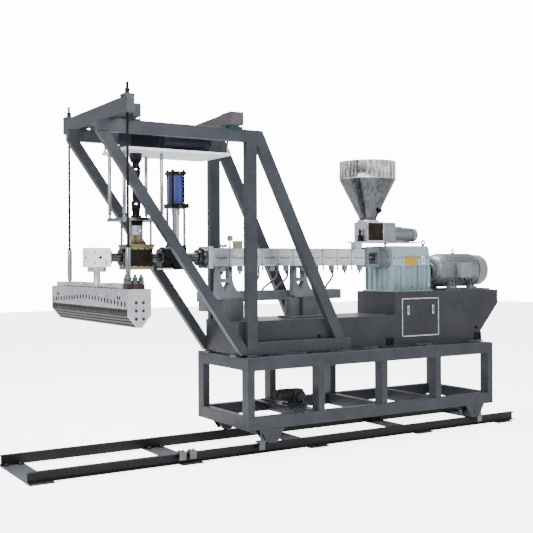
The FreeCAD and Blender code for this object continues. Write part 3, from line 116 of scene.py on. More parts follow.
# ---- Surfaces -------------------------------------------------------------------------------------
@dataclass(frozen=True)
class Shape:
    """Closed surfaces: their points, and their faces grouped by how many corners they have."""

    points: np.ndarray
    groups: tuple[np.ndarray, ...]

    @property
    def low(self) -> np.ndarray:
        """Lowest corner."""
        return self.points.min(axis=0)

    @property
    def high(self) -> np.ndarray:
        """Highest corner."""
        return self.points.max(axis=0)

    def box(self) -> tuple[np.ndarray, np.ndarray]:
        """Lowest and highest corner."""
        return self.low, self.high

    def span(self, lane: int) -> float:
        """Size along one coordinate."""
        return self.high[lane] - self.low[lane]

    def volume(self) -> float:
        """Enclosed volume: the sum of the tetrahedra between the origin and each face's triangles."""
        total = 0.0
        for group in self.groups:
            corners = self.points[group]
            for j in range(1, group.shape[1] - 1):
                total += np.einsum("ij,ij->", corners[:, 0], np.cross(corners[:, j], corners[:, j + 1]))
        return total / 6.0

    def flipped(self, points: np.ndarray) -> "Shape":
        """Other points with this shape's faces turned round."""
        return Shape(points, tuple(group[:, ::-1] for group in self.groups))

    def copies(self, places: Iterable[Point]) -> "Shape":
        """This shape repeated at every place, as one shape."""
        offsets = np.atleast_2d(np.array(list(places), float))
        points = (self.points[None] + offsets[:, None]).reshape(-1, 3)
        steps = np.arange(len(offsets)) * len(self.points)
        groups = tuple((g[None] + steps[:, None, None]).reshape(-1, g.shape[1]) for g in self.groups)
        return Shape(points, groups)

    def both(self, lane: int = 1, about: float = 0.0) -> "Shape":
        """This shape and its mirror image across a plane; without arguments, the machine's middle plane."""
        points = self.points.copy()
        points[:, lane] = 2 * about - points[:, lane]
        return join([self, self.flipped(points)])


def join(shapes: Sequence[Shape]) -> Shape:
    """Several shapes as one."""
    shift = np.cumsum([0] + [len(s.points) for s in shapes[:-1]])
    groups = tuple(g + k for s, k in zip(shapes, shift) for g in s.groups)
    return Shape(np.concatenate([s.points for s in shapes]), groups)


def skin(grid: np.ndarray, closed: bool = False) -> Shape:
    """Closed surface over a grid of rings.

    The grid holds point(i, j): ring i, place j round the ring. Every ring closes on itself; the first and
    the last ring get a flat cap, unless the rings themselves close into a loop.

    Args:
        grid: Points as an array of rings, places and coordinates.
        closed: True if the last ring joins the first.

    Returns:
        The surface with its faces outwards.
    """
    rings, places = grid.shape[:2]
    index = np.arange(rings * places).reshape(rings, places)
    first = index if closed else index[:-1]
    second = np.roll(index, -1, axis=0) if closed else index[1:]
    quads = np.stack([first, np.roll(first, -1, axis=1), np.roll(second, -1, axis=1), second], axis=-1)
    caps = () if closed else (index[:1, ::-1], index[-1:])
    shape = Shape(grid.reshape(-1, 3), (quads.reshape(-1, 4), *caps))
    return shape if shape.volume() >= 0.0 else shape.flipped(shape.points)


def unit(vectors: np.ndarray) -> np.ndarray:
    """The same directions with length one."""
    return vectors / np.linalg.norm(vectors, axis=-1, keepdims=True)


def arc(radius: float, angle: np.ndarray) -> np.ndarray:
    """Pairs at a radius and some angles."""
    return radius * np.stack([np.cos(angle), np.sin(angle)], axis=1)


def circle(radius: float, steps: int = 12, first: float = 0.0) -> np.ndarray:
    """Pairs evenly round a circle."""
    return arc(radius, np.linspace(0.0, FULL_TURN, steps, endpoint=False) + first)


def spun(start: Point, axis: Axis, level: np.ndarray, reach: np.ndarray, angle: np.ndarray,
         closed: bool = False) -> Shape:
    """Rings about an axis: point(i, a) = start + level_i along it + reach(i, a) (cos a, sin a) across it."""
    along = unit(np.array(axis.value))
    side = unit(np.cross(Axis.Z.value if abs(along[2]) < 0.9 else Axis.X.value, along))
    grid = (np.asarray(start, float) + level[:, None, None] * along + (reach * np.cos(angle))[..., None] * side
            + (reach * np.sin(angle))[..., None] * np.cross(along, side))
    return skin(grid, closed)


def turned(profile: Sequence[Point], start: Point = (0, 0, 0), axis: Axis = Axis.Z, steps: int = 48,
           ripple: Optional[Callable[[np.ndarray], np.ndarray]] = None, closed: bool = False) -> Shape:
    """Surface of revolution, its radius changed round the turn by a ripple.

    Args:
        profile: (radius, distance along the axis) pairs.
        start: Where the distance is zero.
        axis: Direction of the axis.
        steps: Places round the turn.
        ripple: Added radius as a function of the angles, or None.
        closed: True if the profile is a loop, as of a thin wall.

    Returns:
        The closed surface.
    """
    radius, level = np.asarray(profile, float).T
    angle = np.linspace(0.0, FULL_TURN, steps, endpoint=False)
    return spun(start, axis, level, radius[:, None] + (ripple(angle) if ripple else 0 * angle), angle, closed)


def rod(radius: float, length: float, start: Point, axis: Axis = Axis.Z, steps: int = 16) -> Shape:
    """Straight round bar, or with six steps a hexagon."""
    return turned([(radius, 0), (radius, length)], start, axis, steps)


def swept(section: np.ndarray, path: np.ndarray, side: np.ndarray, over: np.ndarray, swell: Optional[np.ndarray],
          closed: bool) -> Shape:
    """Outline carried along a path: point(i, j) = path_i + swell_i * (section_j across side_i and over_i)."""
    scale = np.ones(len(path)) if swell is None else swell
    grid = (path[:, None] + (scale[:, None] * section[:, 0])[..., None] * side[:, None]
            + (scale[:, None] * section[:, 1])[..., None] * over[:, None])
    return skin(grid, closed)


def carried(radius: float, steps: int, path: np.ndarray, swell: Optional[np.ndarray] = None) -> Shape:
    """Round wire along an open path, its thickness scaled at each point by the swell."""
    run = unit(np.gradient(path, axis=0))
    flat = np.abs(run[:, 2]).max() < 0.95
    side = unit(np.cross(Axis.Z.value if flat else Axis.Y.value, run))
    return swept(circle(radius, steps), path, side, np.cross(run, side), swell, False)


def weld_round(low: np.ndarray, high: np.ndarray, z: float, bead: float, steps: int = 14) -> Shape:
    """Weld bead round an upright box at one level, its thickness rippled.

    Args:
        low: Lowest corner of the box.
        high: Its highest corner.
        z: Level of the bead.
        bead: Radius of the bead.
        steps: Points on each side.

    Returns:
        The bead as a closed surface.
    """
    corners = np.array([(low[0], low[1], z), (high[0], low[1], z), (high[0], high[1], z), (low[0], high[1], z)])
    share = np.linspace(0.0, 1.0, steps, endpoint=False)[None, :, None]
    path = (corners[:, None] * (1 - share) + np.roll(corners, -1, axis=0)[:, None] * share).reshape(-1, 3)
    run = unit(np.roll(path, -1, axis=0) - np.roll(path, 1, axis=0))
    out = path - path.mean(axis=0)
    out = unit(out - (out * run).sum(axis=1)[:, None] * run)
    swell = 1.0 + 0.22 * np.sin(np.arange(len(path)) * 2.1)
    return swept(circle(bead, 6), path, out, np.cross(run, out), swell, True)


def rounded_block(low: Point, high: Point, radius: float) -> Shape:
    """Box with rounded upright corners and rounded rims.

    Each level is a rectangle whose corners are quarter circles; the levels near both ends draw in along a
    quarter circle of the same radius.

    Args:
        low: Lowest corner.
        high: Highest corner.
        radius: Radius of every rounding.

    Returns:
        The closed surface.
    """
    low, high = np.asarray(low, float), np.asarray(high, float)
    half, middle = (high - low)[:2] / 2, (low + high)[:2] / 2
    quarter = np.linspace(0.0, math.pi / 2, 4)
    reach = arc(radius, np.concatenate([quarter + k * math.pi / 2 for k in range(4)]))
    signs = np.repeat(np.array([[1, 1], [-1, 1], [-1, -1], [1, -1]]), len(quarter), axis=0)
    rim = np.linspace(0.0, math.pi / 2, 3)
    inset = radius * np.concatenate([1 - np.sin(rim), (1 - np.sin(rim))[::-1]])
    rise = radius * (1 - np.cos(rim))
    grid = np.empty((len(inset), len(reach), 3))
    grid[..., :2] = middle + signs * (half - radius) + reach - inset[:, None, None] * signs
    grid[..., 2] = np.concatenate([low[2] + rise, high[2] - rise[::-1]])[:, None]
    return skin(grid)


def slab(place: Point, low: Point, high: Point, radius: float) -> Shape:
    """Rounded block whose corners are given from a place."""
    return rounded_block(np.add(place, low), np.add(place, high), radius)


def prism(outline: Sequence[Point], low: float, high: float, axis: Axis = Axis.Y) -> Shape:
    """Flat outline, given in the two coordinates the axis leaves out, carried from low to high along it."""
    grid = np.empty((2, len(outline), 3))
    lane = int(np.argmax(np.abs(axis.value)))
    grid[..., [k for k in range(3) if k != lane]] = outline
    grid[..., lane] = np.array([[low], [high]])
    return skin(grid)


def eye_bolt(place: Point, radius: float, wire: float) -> Shape:
    """Lifting eye: a ring that stands on a collar, its hole facing sideways."""
    angle = np.linspace(0.0, FULL_TURN, 32, endpoint=False)
    side = np.stack([np.cos(angle), 0 * angle, np.sin(angle)], axis=1)
    ring = np.add(place, (0, 0, radius + 2 * wire)) + radius * side
    collar = turned([(2.6 * wire, 0.0), (2.6 * wire, wire), (1.3 * wire, 2.2 * wire), (wire, 3 * wire)], place)
    over = np.tile(Axis.Y.value, (len(angle), 1))
    return join([swept(circle(wire, 10), ring, side, over, None, True), collar])


def bolts(radius: float, axis: Axis, places: Iterable[Point]) -> Shape:
    """Hexagon heads with chamfered tops on round washers, one at every place."""
    washer = turned([(1.5 * radius, 0.0), (1.5 * radius, 0.25 * radius)], axis=axis, steps=18)
    head = turned([(radius, 0.25 * radius), (radius, 0.85 * radius), (0.82 * radius, radius)], axis=axis, steps=6)
    return join([washer, head]).copies(places)


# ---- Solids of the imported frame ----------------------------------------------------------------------
def corners_of(node: str) -> tuple[np.ndarray, np.ndarray]:
    """Lowest and highest corner of a CAD node, in millimetres."""
    low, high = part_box(node)
    return np.array(low) / MM, np.array(high) / MM


def solids_of(node: str) -> list[Shape]:
    """The separate solids of a CAD node in millimetres, from the lowest x to the highest.

    Points that lie together count as one; each solid is what its triangles hold together, found by handing
    the smallest point number on along the edges until nothing changes.
    """
    mesh = frame["nodes"][node].data
    mesh.calc_loop_triangles()
    raw = np.empty(len(mesh.vertices) * 3)
    mesh.vertices.foreach_get("co", raw)
    corners = np.empty(len(mesh.loop_triangles) * 3, np.int32)
    mesh.loop_triangles.foreach_get("vertices", corners)
    rounded, where = np.unique(np.round(raw.reshape(-1, 3), 6), axis=0, return_inverse=True)
    triangles = where.reshape(-1)[corners].reshape(-1, 3)
    label, previous = np.arange(len(rounded)), None
    while not np.array_equal(label, previous):
        previous, label = label, label.copy()
        for k in range(3):
            np.minimum.at(label, triangles[:, k], previous[triangles].min(axis=1))
        label = label[label]
    found = []
    for value in np.unique(label):
        members = np.flatnonzero(label == value)
        local = np.full(len(rounded), -1)
        local[members] = np.arange(len(members))
        found.append(Shape(rounded[members] / MM, (local[triangles[label[triangles[:, 0]] == value]],)))
    return sorted(found, key=lambda s: tuple(np.round(s.low, 1)))


def others(solids: Sequence[Shape], *taken: Shape) -> list[Shape]:
    """The solids that are not among those taken."""
    return [s for s in solids if all(s is not t for t in taken)]


def make_piece(name: str, look: "Look", like: str, *shapes: Shape, stands: bool = False, body: str = "carriage",
               sharp: float = 38.0) -> bpy.types.Object:
    """Puts shapes into the scene as one piece that rides on a CAD body.

    Args:
        name: Name of the piece.
        look: Its finish.
        like: CAD node whose body the piece rides on, and which it hides, when the piece stands for it.
        *shapes: Its surfaces, in millimetres.
        stands: True if the piece stands for that CAD node, and so moves with its body.
        body: Otherwise the CAD body it moves with.
        sharp: Faces that meet at more than this many degrees keep a sharp edge.

    Returns:
        The new object.
    """
    shape = join(shapes)
    mesh = bpy.data.meshes.new(name)
    mesh.from_pydata(shape.points * MM, [], [face for group in shape.groups for face in group.tolist()])
    mesh.shade_smooth()
    mesh.set_sharp_from_angle(angle=math.radians(sharp))
    mesh.materials.append(material_of(look))
    piece = bpy.data.objects.new(name, mesh)
    bpy.context.scene.collection.objects.link(piece)
    body = frame["nodes"][like]["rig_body"] if stands else body
    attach(piece, body)
    if stands:
        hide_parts(like)
    LOG.info("%s: %d faces on %s", name, len(mesh.polygons), body)
    return piece


def apply_modifiers(piece: bpy.types.Object, sharp: float) -> None:
    """Replaces a piece's mesh with what its modifiers make of it, with sharp edges above an angle in degrees."""
    graph = bpy.context.evaluated_depsgraph_get()
    mesh = bpy.data.meshes.new_from_object(piece.evaluated_get(graph))
    piece.modifiers.clear()
    piece.data = mesh
    mesh.shade_smooth()
    mesh.set_sharp_from_angle(angle=math.radians(sharp))


def finish_node(node: str, look: "Look", width: float, name: str = "",
                solids: Optional[Sequence[Shape]] = None) -> None:
    """Copies a CAD node, or some of its solids, with clean flats and rounded edges.

    Args:
        node: CAD node that the piece stands for.
        look: Its finish.
        width: Width of the rounded edges.
        name: Name of the piece, or empty for the node's own name with _made.
        solids: The solids to copy, or None for all.
    """
    piece = make_piece(name or node + "_made", look, node, *(solids or solids_of(node)), stands=True)
    clean = bmesh.new()
    clean.from_mesh(piece.data)
    bmesh.ops.dissolve_limit(clean, angle_limit=math.radians(0.5), verts=clean.verts, edges=clean.edges)
    clean.to_mesh(piece.data)
    clean.free()
    bevel = piece.modifiers.new("rounding", "BEVEL")
    bevel.width = width * MM
    bevel.segments = 2
    bevel.limit_method = "ANGLE"
    bevel.angle_limit = math.radians(40)
    apply_modifiers(piece, 35.0)
    piece.modifiers.new("flat_normals", "WEIGHTED_NORMAL").keep_sharp = True


def dress(look: "Look", width: float, *nodes: str) -> None:
    """Copies whole CAD nodes with one finish and one edge rounding."""
    for node in nodes:
        finish_node(node, look, width)


# ---- Finishes ----------------------------------------------------------------------------------------
def linear(code: str) -> tuple[float, float, float, float]:
    """Linear colour of an sRGB hex code."""
    parts = np.array([int(code[i:i + 2], 16) for i in (0, 2, 4)]) / 255.0
    values = np.where(parts <= 0.04045, parts / 12.92, ((parts + 0.055) / 1.055) ** 2.4)
    return (*values.tolist(), 1.0)


def add(tree: bpy.types.NodeTree, kind: str, values: Optional[dict] = None, links: Optional[dict] = None,
        **settings: object) -> bpy.types.Node:
    """Adds a node.

    Args:
        tree: Node tree that takes it.
        kind: The node's type name after ShaderNode.
        values: Values of its inputs, by name or number.
        links: Output sockets to join to its inputs, by name or number.
        **settings: Its other properties.

    Returns:
        The node.
    """
    made = tree.nodes.new("ShaderNode" + kind)
    for key, value in settings.items():
        setattr(made, key, value)
    for key, value in (values or {}).items():
        made.inputs[key].default_value = value
    for key, source in (links or {}).items():
        tree.links.new(source, made.inputs[key])
    return made


def noise(tree: bpy.types.NodeTree, place: bpy.types.NodeSocket, size: float, detail: float,
          roughness: float = 0.5) -> bpy.types.NodeSocket:
    """Grey value of a noise whose clouds are about so many millimetres wide."""
    values = {"Scale": 1 / (size * MM), "Detail": detail, "Roughness": roughness}
    return add(tree, "TexNoise", values, {"Vector": place}).outputs[0]


def ramp_between(tree: bpy.types.NodeTree, source: bpy.types.NodeSocket, low: float, high: float,
                 start: str, end: str) -> bpy.types.NodeSocket:
    """Colour that goes from one hex code to another while the source goes from low to high."""
    ramp = add(tree, "ValToRGB", links={0: source})
    for element, position, code in zip(ramp.color_ramp.elements, (low, high), (start, end)):
        element.position = position
        element.color = linear(code)
    return ramp.outputs[0]


def new_tree(name: str) -> tuple[bpy.types.Material, bpy.types.NodeTree, bpy.types.NodeSocket]:
    """An empty node material, its tree, and the place on the object that its nodes read."""
    material = bpy.data.materials.new(name)
    material.use_nodes = True
    tree = material.node_tree
    tree.nodes.clear()
    return material, tree, add(tree, "TexCoord").outputs["Object"]


def finish_tree(tree: bpy.types.NodeTree, values: dict, links: dict,
                height: Optional[bpy.types.NodeSocket] = None, strength: float = 0.0, distance: float = 0.3) -> None:
    """Ends a material's tree: a principled shader, with the relief that a height gives."""
    if height:
        relief = add(tree, "Bump", {"Strength": strength, "Distance": distance * MM}, {"Height": height})
        links["Normal"] = relief.outputs[0]
    shader = add(tree, "BsdfPrincipled", values, links)
    add(tree, "OutputMaterial", links={"Surface": shader.outputs[0]})


@dataclass(frozen=True)
class Paint:
    """Sprayed machine enamel: even colour with faint clouds, fine orange peel, and upward faces turned paler in
    dust-like specks: painted top light.
    """

    name: str
    shade: str
    colour: str
    dust_and_top_light: str
    roughness: float = 0.42
    cloud: float = 260.0
    metallic: float = 0.0
    coat: float = 0.06
    peel: float = 9.0           # real orange peel is about 2 mm; drawn coarser so that it shows

    def build(self) -> bpy.types.Material:
        """Makes the node material."""
        material, tree, place = new_tree(self.name)
        base = ramp_between(tree, noise(tree, place, self.cloud, 6.0, 0.62), 0.36, 0.64, self.shade, self.colour)
        normal = add(tree, "NewGeometry").outputs["Normal"]
        upward = add(tree, "SeparateXYZ", links={0: normal}).outputs["Z"]
        specks = noise(tree, place, 35, 4.0)
        # Upward faces mix toward a paler tone of the same paint, in specks: painted top light, drawn patchy like
        # dust.
        upward_light_and_dust = add(tree, "MapRange", {"From Min": 0.6, "From Max": 1.0, "To Max": 0.75}, {"Value": upward})
        amount = add(tree, "Math", links={0: upward_light_and_dust.outputs[0], 1: specks}, operation="MULTIPLY")
        colour = add(tree, "Mix", {"B": linear(self.dust_and_top_light)}, {"Factor": amount.outputs[0], "A": base},
                     data_type="RGBA")
        gloss = add(tree, "MapRange", {"To Min": self.roughness - 0.07, "To Max": self.roughness + 0.1},
                    {"Value": specks})
        finish_tree(tree, {"Metallic": self.metallic, "Coat Weight": self.coat, "Coat Roughness": 0.2,
                     "Specular IOR Level": 0.22},
              {"Base Color": colour.outputs["Result"], "Roughness": gloss.outputs[0]},
              noise(tree, place, self.peel, 2.0), 0.06, 0.5)
        return material


@dataclass(frozen=True)
class Metal:
    """Bare metal: grain drawn out along one axis, faint stains, and roughness that follows both. On the hopper and
    its cone the broad, high-contrast grain is painted reflection.
    """

    name: str
    shade: str
    colour: str
    roughness: float = 0.3
    grain: Optional[Axis] = Axis.X
    line: float = 6.0           # real brush lines are under 1 mm; drawn coarser so that they show
    draw: float = 24.0          # how many times longer than wide a line of the grain is
    depth: float = 0.15

    def build(self) -> bpy.types.Material:
        """Makes the node material."""
        material, tree, place = new_tree(self.name)
        stretch = np.ones(3)
        if self.grain is not None:
            stretch -= np.abs(self.grain.value) * (1 - 1 / self.draw)
        squeezed = add(tree, "Mapping", {"Scale": tuple(stretch)}, {"Vector": place}).outputs[0]
        lines = noise(tree, squeezed, self.line, 4.0)
        both = add(tree, "Math", links={0: lines, 1: noise(tree, place, 120, 5.0, 0.6)}, operation="ADD")
        half = add(tree, "Math", {1: 0.5}, {0: both.outputs[0]}, operation="MULTIPLY").outputs[0]
        gloss = add(tree, "MapRange",
                    {"From Min": 0.3, "From Max": 0.7, "To Min": max(0.03, self.roughness - 0.08),
                     "To Max": self.roughness + 0.08}, {"Value": half})
        tint = ramp_between(tree, half, 0.38, 0.62, self.shade, self.colour)
        finish_tree(tree, {"Metallic": 1.0}, {"Base Color": tint,
                                        "Roughness": gloss.outputs[0]}, lines, self.depth)
        return material


@dataclass(frozen=True)
class Moulded:
    """Moulded plastic or rubber: fine grain, faint clouds of colour, no metal."""

    name: str
    shade: str
    colour: str
    roughness: float = 0.5

    def build(self) -> bpy.types.Material:
        """Makes the node material."""
        material, tree, place = new_tree(self.name)
        colour = ramp_between(tree, noise(tree, place, 60, 4.0), 0.35, 0.65, self.shade, self.colour)
        finish_tree(tree, {"Roughness": self.roughness}, {"Base Color": colour}, noise(tree, place, 4, 3.0), 0.1)
        return material


class Look(Enum):
    """Every finish of the machine."""

    # Slate two-pack enamel, sprayed: a cool dark grey, drawn paler on top faces as painted top light.
    SLATE = Paint("slate_enamel_sprayed", "2b2e34", "353940", "5c6169")
    # The same enamel on the big bed plates, drawn a shade darker: painted shade on the low bed.
    BED = Paint("bed_enamel_painted_shade", "26282c", "303237", "50545a", 0.34)
    # Black alkyd on rolled channel: almost black, with a dull sheen.
    BLACK_RAIL = Paint("black_alkyd_on_channel", "0a0b0c", "121314", "242628", 0.4)
    # Grey primer, rolled, with a brown cast on the crossbeams.
    PRIMER = Paint("brown_grey_primer", "3d3b3e", "4a484b", "646265", 0.6, coat=0.0)
    # Teal spacer paint.
    TEAL = Paint("teal_spacer_paint", "1d484b", "28595d", "487376")
    # Pale blue-green gear enamel, smooth and clean.
    GEAR = Paint("gear_case_enamel", "7f979f", "90a5ac", "a7b6bb", 0.34)
    # Cream enamel on the vent stack.
    CREAM = Paint("cream_enamel", "8f8873", "a59e89", "b8b2a2", 0.45)
    # Middle grey enamel of the stands' pedestals.
    PEDESTAL = Paint("middle_grey_enamel", "42464a", "54585c", "74787b", 0.4)
    # Light grey enamel on stands, trough and lantern.
    STAND = Paint("light_grey_enamel", "5f666c", "70777d", "8b9196", 0.45)
    # Silver-grey motor enamel with a faint metallic flake.
    MOTOR = Paint("motor_enamel_silver", "6d7277", "83888d", "9ea2a6", 0.3, metallic=0.35)
    # Dark blue-black enamel of the pump drive.
    NAVY = Paint("navy_enamel", "10141c", "1b202c", "30353f", 0.36)
    # Dark green-grey enamel of the travel drive.
    DRAB = Paint("green_grey_enamel", "25292a", "363b3d", "4c5152", 0.45)
    # Deep blue cylinder enamel, glossy.
    BLUE = Paint("blue_cylinder_enamel", "1c2560", "2b3678", "4a548c", 0.22, coat=0.6)
    # White powder coat: slightly soft gloss.
    WHITE = Paint("white_powder_coat", "dfe2e4", "eceef0", "f3f4f5", 0.4, coat=0.1)
    # Plain yellow plate enamel.
    YELLOW = Paint("yellow_plate_enamel", "a5822a", "ba9636", "c0a255", 0.45)
    # Dark red enamel on the connector bases.
    OXIDE_RED = Paint("oxide_red_enamel", "32100f", "431917", "5c312e", 0.5)
    # Stainless sheet, brushed along the barrel.
    STAINLESS = Metal("stainless_sheet_brushed", "9da1a6", "cacdd2", 0.36)
    # Stainless hopper sheet, rolled; its broad upright dark and bright streaks are painted reflections.
    HOPPER = Metal("stainless_sheet_painted_reflections", "2e3032", "e4e6e7", 0.13, Axis.Z, 24.0, 200.0, 0.04)
    # The same sheet rolled into the cone, drawn darker as painted shade, with upright streaks of painted reflection.
    CONE = Metal("stainless_cone_painted_shade", "3c3e41", "5c5f62", 0.2, Axis.Z, 22.0, 200.0, 0.03)
    # Hard chrome plate on the die, ground and polished.
    CHROME = Metal("hard_chrome_plate", "bfc3ca", "d0d4da", 0.27, None, 40.0, 1.0, 0.01)
    # Ground bright steel on rods and shafts.
    BRIGHT = Metal("ground_bright_steel", "7e8286", "a2a6aa", 0.2, Axis.Z)
    # Zinc-plated fasteners and clamps, dull.
    ZINC = Metal("zinc_plate", "4f5357", "74787c", 0.42, None)
    # Blackened steel: dark, with a blue-grey bloom.
    BLACK_STEEL = Metal("blackened_steel", "121314", "26272a", 0.36, None, depth=0.3)
    # Machined tool steel, oiled, darker than chrome.
    TOOL_STEEL = Metal("oiled_tool_steel", "303234", "505356", 0.28, Axis.Y, 7.0)
    # Heat-stained pump body steel: brown-black. The same finish on the die's slot walls is painted shade, and on the
    # feeder door a painted dark reflection.
    PUMP_STEEL = Metal("heat_stained_steel_painted_shade_and_reflection", "191715", "332f2c", 0.4, None, depth=0.3)
    # Machined brass plate, dull from heat.
    BRASS = Metal("machined_brass", "6f6750", "958b6f", 0.38)
    # Lip bars: near black, dull, clouded, almost without a sheen; the near black is painted shade on their downward
    # slopes.
    LIP = Paint("lip_bar_near_black_painted_shade", "0e0f10", "26282a", "393b3d", 0.5, 60.0)
    # Turned wheel tread, cast sides.
    CAST = Metal("turned_cast_iron", "3d3e40", "5b5c5e", 0.5, None, depth=0.4)
    # Ribbed grey flexible conduit, moulded.
    CONDUIT = Moulded("grey_flexible_conduit", "54585b", "6c7073", 0.5)
    # Black moulded plugs and knobs.
    BAKELITE = Moulded("black_phenolic_moulding", "141415", "222325", 0.35)
    # Grey dial card under a clear cover.
    DIAL = Moulded("grey_dial_card", "6f757b", "868c91", 0.3)
    # Dark sight glass with oil behind it.
    GLASS = Moulded("oil_sight_glass", "15181a", "262b2e", 0.06)


@cache
def material_of(look: Look) -> bpy.types.Material:
    """The material of a finish, made once and shared."""
    return look.value.build()


# ---- Sub-assemblies --------------------------------------------------------------------------------
@dataclass
class Track:
    """Channel rails on their tie plates, with the two stops."""

    bolt: float = 9

    def build(self) -> None:
        """Makes rails, tie plates and stops, and two bolted clips on each tie plate inside every rail."""
        dress(Look.BLACK_RAIL, 3, "rails")
        dress(Look.SLATE, 2, "tie_plates")
        dress(Look.ZINC, 3, "rail_stops")
        flange = corners_of("rails")[1][1] - 60
        places = [(x, flange, plate.high[2]) for plate in solids_of("tie_plates")
                  for x in (plate.low[0] + 45, plate.high[0] - 45)]
        clips = rounded_block((-22, -34, 0), (22, 8, 14), 3).copies(places)
        heads = bolts(self.bolt, Axis.Z, np.add(places, (0, -16, 14)))
        make_piece("rail_clips", Look.BLACK_RAIL, "rails", clips.both(), body="track")
        make_piece("rail_clip_bolts", Look.ZINC, "rail_stops", heads.both(), body="track")


@dataclass
class Wheel:
    """A track wheel: dished sides, a hub with a grease cap, and the axle where it has one."""

    tread: float = 65
    width: float = 36

    def shape(self, x: float, y: float, z: float) -> Shape:
        """One wheel about (x, y, z)."""
        r, w = self.tread, self.width / 2
        side = [(0.23 * r, -w - 4), (0.42 * r, -w - 4), (0.5 * r, -w + 1), (0.55 * r, -w + 7), (0.82 * r, -w + 7),
                (0.88 * r, -w), (r - 2, -w), (r, -w + 2)]
        return turned(side + [(a, -b) for a, b in reversed(side)], (x, y, z), Axis.Y, 64)

    def build(self) -> None:
        """Makes the driven wheelset and the two idlers, each on its own body."""
        low, high = corners_of("drive_wheelset")
        x, _, z = (low + high) / 2
        reach, length = abs(sum(corners_of("idler_wheel_near"))[1]) / 2, high[1] - low[1]
        axle = turned([(13, 0), (15, 2), (15, length - 2), (13, length)], (x, low[1], z), Axis.Y, 32)
        make_piece("drive_wheelset_made", Look.CAST, "drive_wheelset", self.shape(x, -reach, z),
                   self.shape(x, reach, z), axle, slab((x, 0, z), (-4, -60, 12), (4, 60, 18), 1), stands=True)
        for node in ("idler_wheel_near", "idler_wheel_far"):
            make_piece(node + "_made", Look.CAST, node, self.shape(*sum(corners_of(node)) / 2), stands=True)


@dataclass
class FinnedMotor:
    """Foot- or flange-mounted motor: rounded end bell, body with cooling fins, and a fan cover."""

    start: Point
    radius: float
    bell: float
    body: float
    fan: float
    axis: Axis = Axis.X
    fins: int = 44
    fin_height: float = 9

    def bell_shape(self) -> Shape:
        """End bell: a rim against the body, a rounded shoulder and a bearing boss."""
        share = [(0.22, -0.28), (0.4, -0.28), (0.42, -0.22), (0.7, -0.2), (0.73, 0.0), (0.84, 0.12), (0.93, 0.4),
                 (0.955, 0.72), (0.985, 0.74), (0.985, 1.0)]
        return turned(np.array(share) * (self.radius, self.bell), self.start, self.axis, 72)

    def body_shape(self) -> Shape:
        """Finned body: the radius steps between fin tip and fin root round the turn."""
        root = self.radius - self.fin_height
        phase = np.linspace(0.0, FULL_TURN, self.fins, endpoint=False)
        angle = (phase[:, None] + FULL_TURN / self.fins * np.array([0.0, 0.12, 0.34, 0.46])).ravel()
        reach = np.tile([root, self.radius, self.radius, root], self.fins)
        level = self.bell + np.array([0.0, 0.012, 0.988, 1.0]) * self.body
        rim = np.array([root, self.radius, self.radius, root])[:, None]
        return spun(self.start, self.axis, level, np.minimum(reach[None], rim), angle)

    def fan_shape(self) -> Shape:
        """Fan cover: a rolled cylinder with a rounded rim and ring slots in its face."""
        rings = np.repeat(np.linspace(0.86, 0.16, 9), 2)
        share = [(1, 0), (1, 0.72), (0.99, 0.84), (0.95, 0.93), (0.9, 0.98)]
        share += [(k, 1.0 if i % 2 else 0.95) for i, k in enumerate(rings)]
        profile = np.array(share) * (0.93 * self.radius, self.fan) + (0, self.bell + self.body)
        return turned(profile, self.start, self.axis, 72)

    def gap_shade_shape(self) -> Shape:
        """Black ring in the air gap between body and fan cover: painted shade."""
        first, r = self.bell + self.body, self.radius * 0.955
        return turned([(r, first - 2), (r, first + 0.1 * self.fan)], self.start, self.axis)


@dataclass
class Carriage:
    """Wheeled frame with its brackets, shoes, pads and travel drive."""

    bead: float = 4

    def build(self) -> None:
        """Makes the frame, the rippled beads where every post meets the beams, and the drive."""
        dress(Look.SLATE, 5, "carriage_side_beams", "carriage_posts", "carriage_cross_members")
        dress(Look.SLATE, 2, "wheel_brackets")
        dress(Look.ZINC, 3, "guide_shoes")
        dress(Look.ZINC, 2, "support_pads")
        beads = [weld_round(*post.box(), z, self.bead) for post in solids_of("carriage_posts")
                 for z in (post.low[2] + 1, post.high[2] - 1)]
        make_piece("carriage_weld_beads", Look.SLATE, "carriage_posts", *beads)
        self.add_travel_drive()

    def add_travel_drive(self) -> None:
        """Worm case with ribs and covers, finned motor, and the deck that carries them."""
        solids = solids_of("travel_drive")
        drive = max(solids, key=lambda s: s.high[2])
        finish_node("travel_drive", Look.SLATE, 1, "drive_deck_made", others(solids, drive))
        x, y, z = place = (drive.high[0] - 120, (drive.low[1] + drive.high[1]) / 2, drive.low[2])
        case = slab(place, (-45, -65, 14), (85, 65, 166), 16)
        foot = slab(place, (-100, -100, 0), (100, 100, 16), 5)
        ribs = slab(place, (-44, -70, 16), (-38, 70, 136), 2).copies(product((0, 26, 52, 78, 104), [0], [0]))
        hub = turned([(30, 0), (46, 2), (48, 8), (48, 22), (40, 30), (40, 170), (48, 178), (48, 192), (46, 198),
                      (30, 200)], (x + 20, y - 100, z + 80), Axis.Y, 40)
        cap = turned([(50, 0), (50, 22), (44, 32), (20, 35)], (x + 85, y, z + 90), Axis.X, 40)
        motor = FinnedMotor((x - 45, y, z + 110), 66, 30, 120, 52, Axis.MINUS_X, 30, 5)
        make_piece("travel_drive_case", Look.DRAB, "travel_drive", case, foot, ribs, hub, cap)
        make_piece("travel_drive_motor", Look.DRAB, "travel_drive", motor.bell_shape(), motor.body_shape(),
                   motor.fan_shape())
        make_piece("travel_drive_bolts", Look.ZINC, "guide_shoes",
                   bolts(9, Axis.Z, product((x - 80, x + 80), (y - 80, y + 80), [z + 16])))


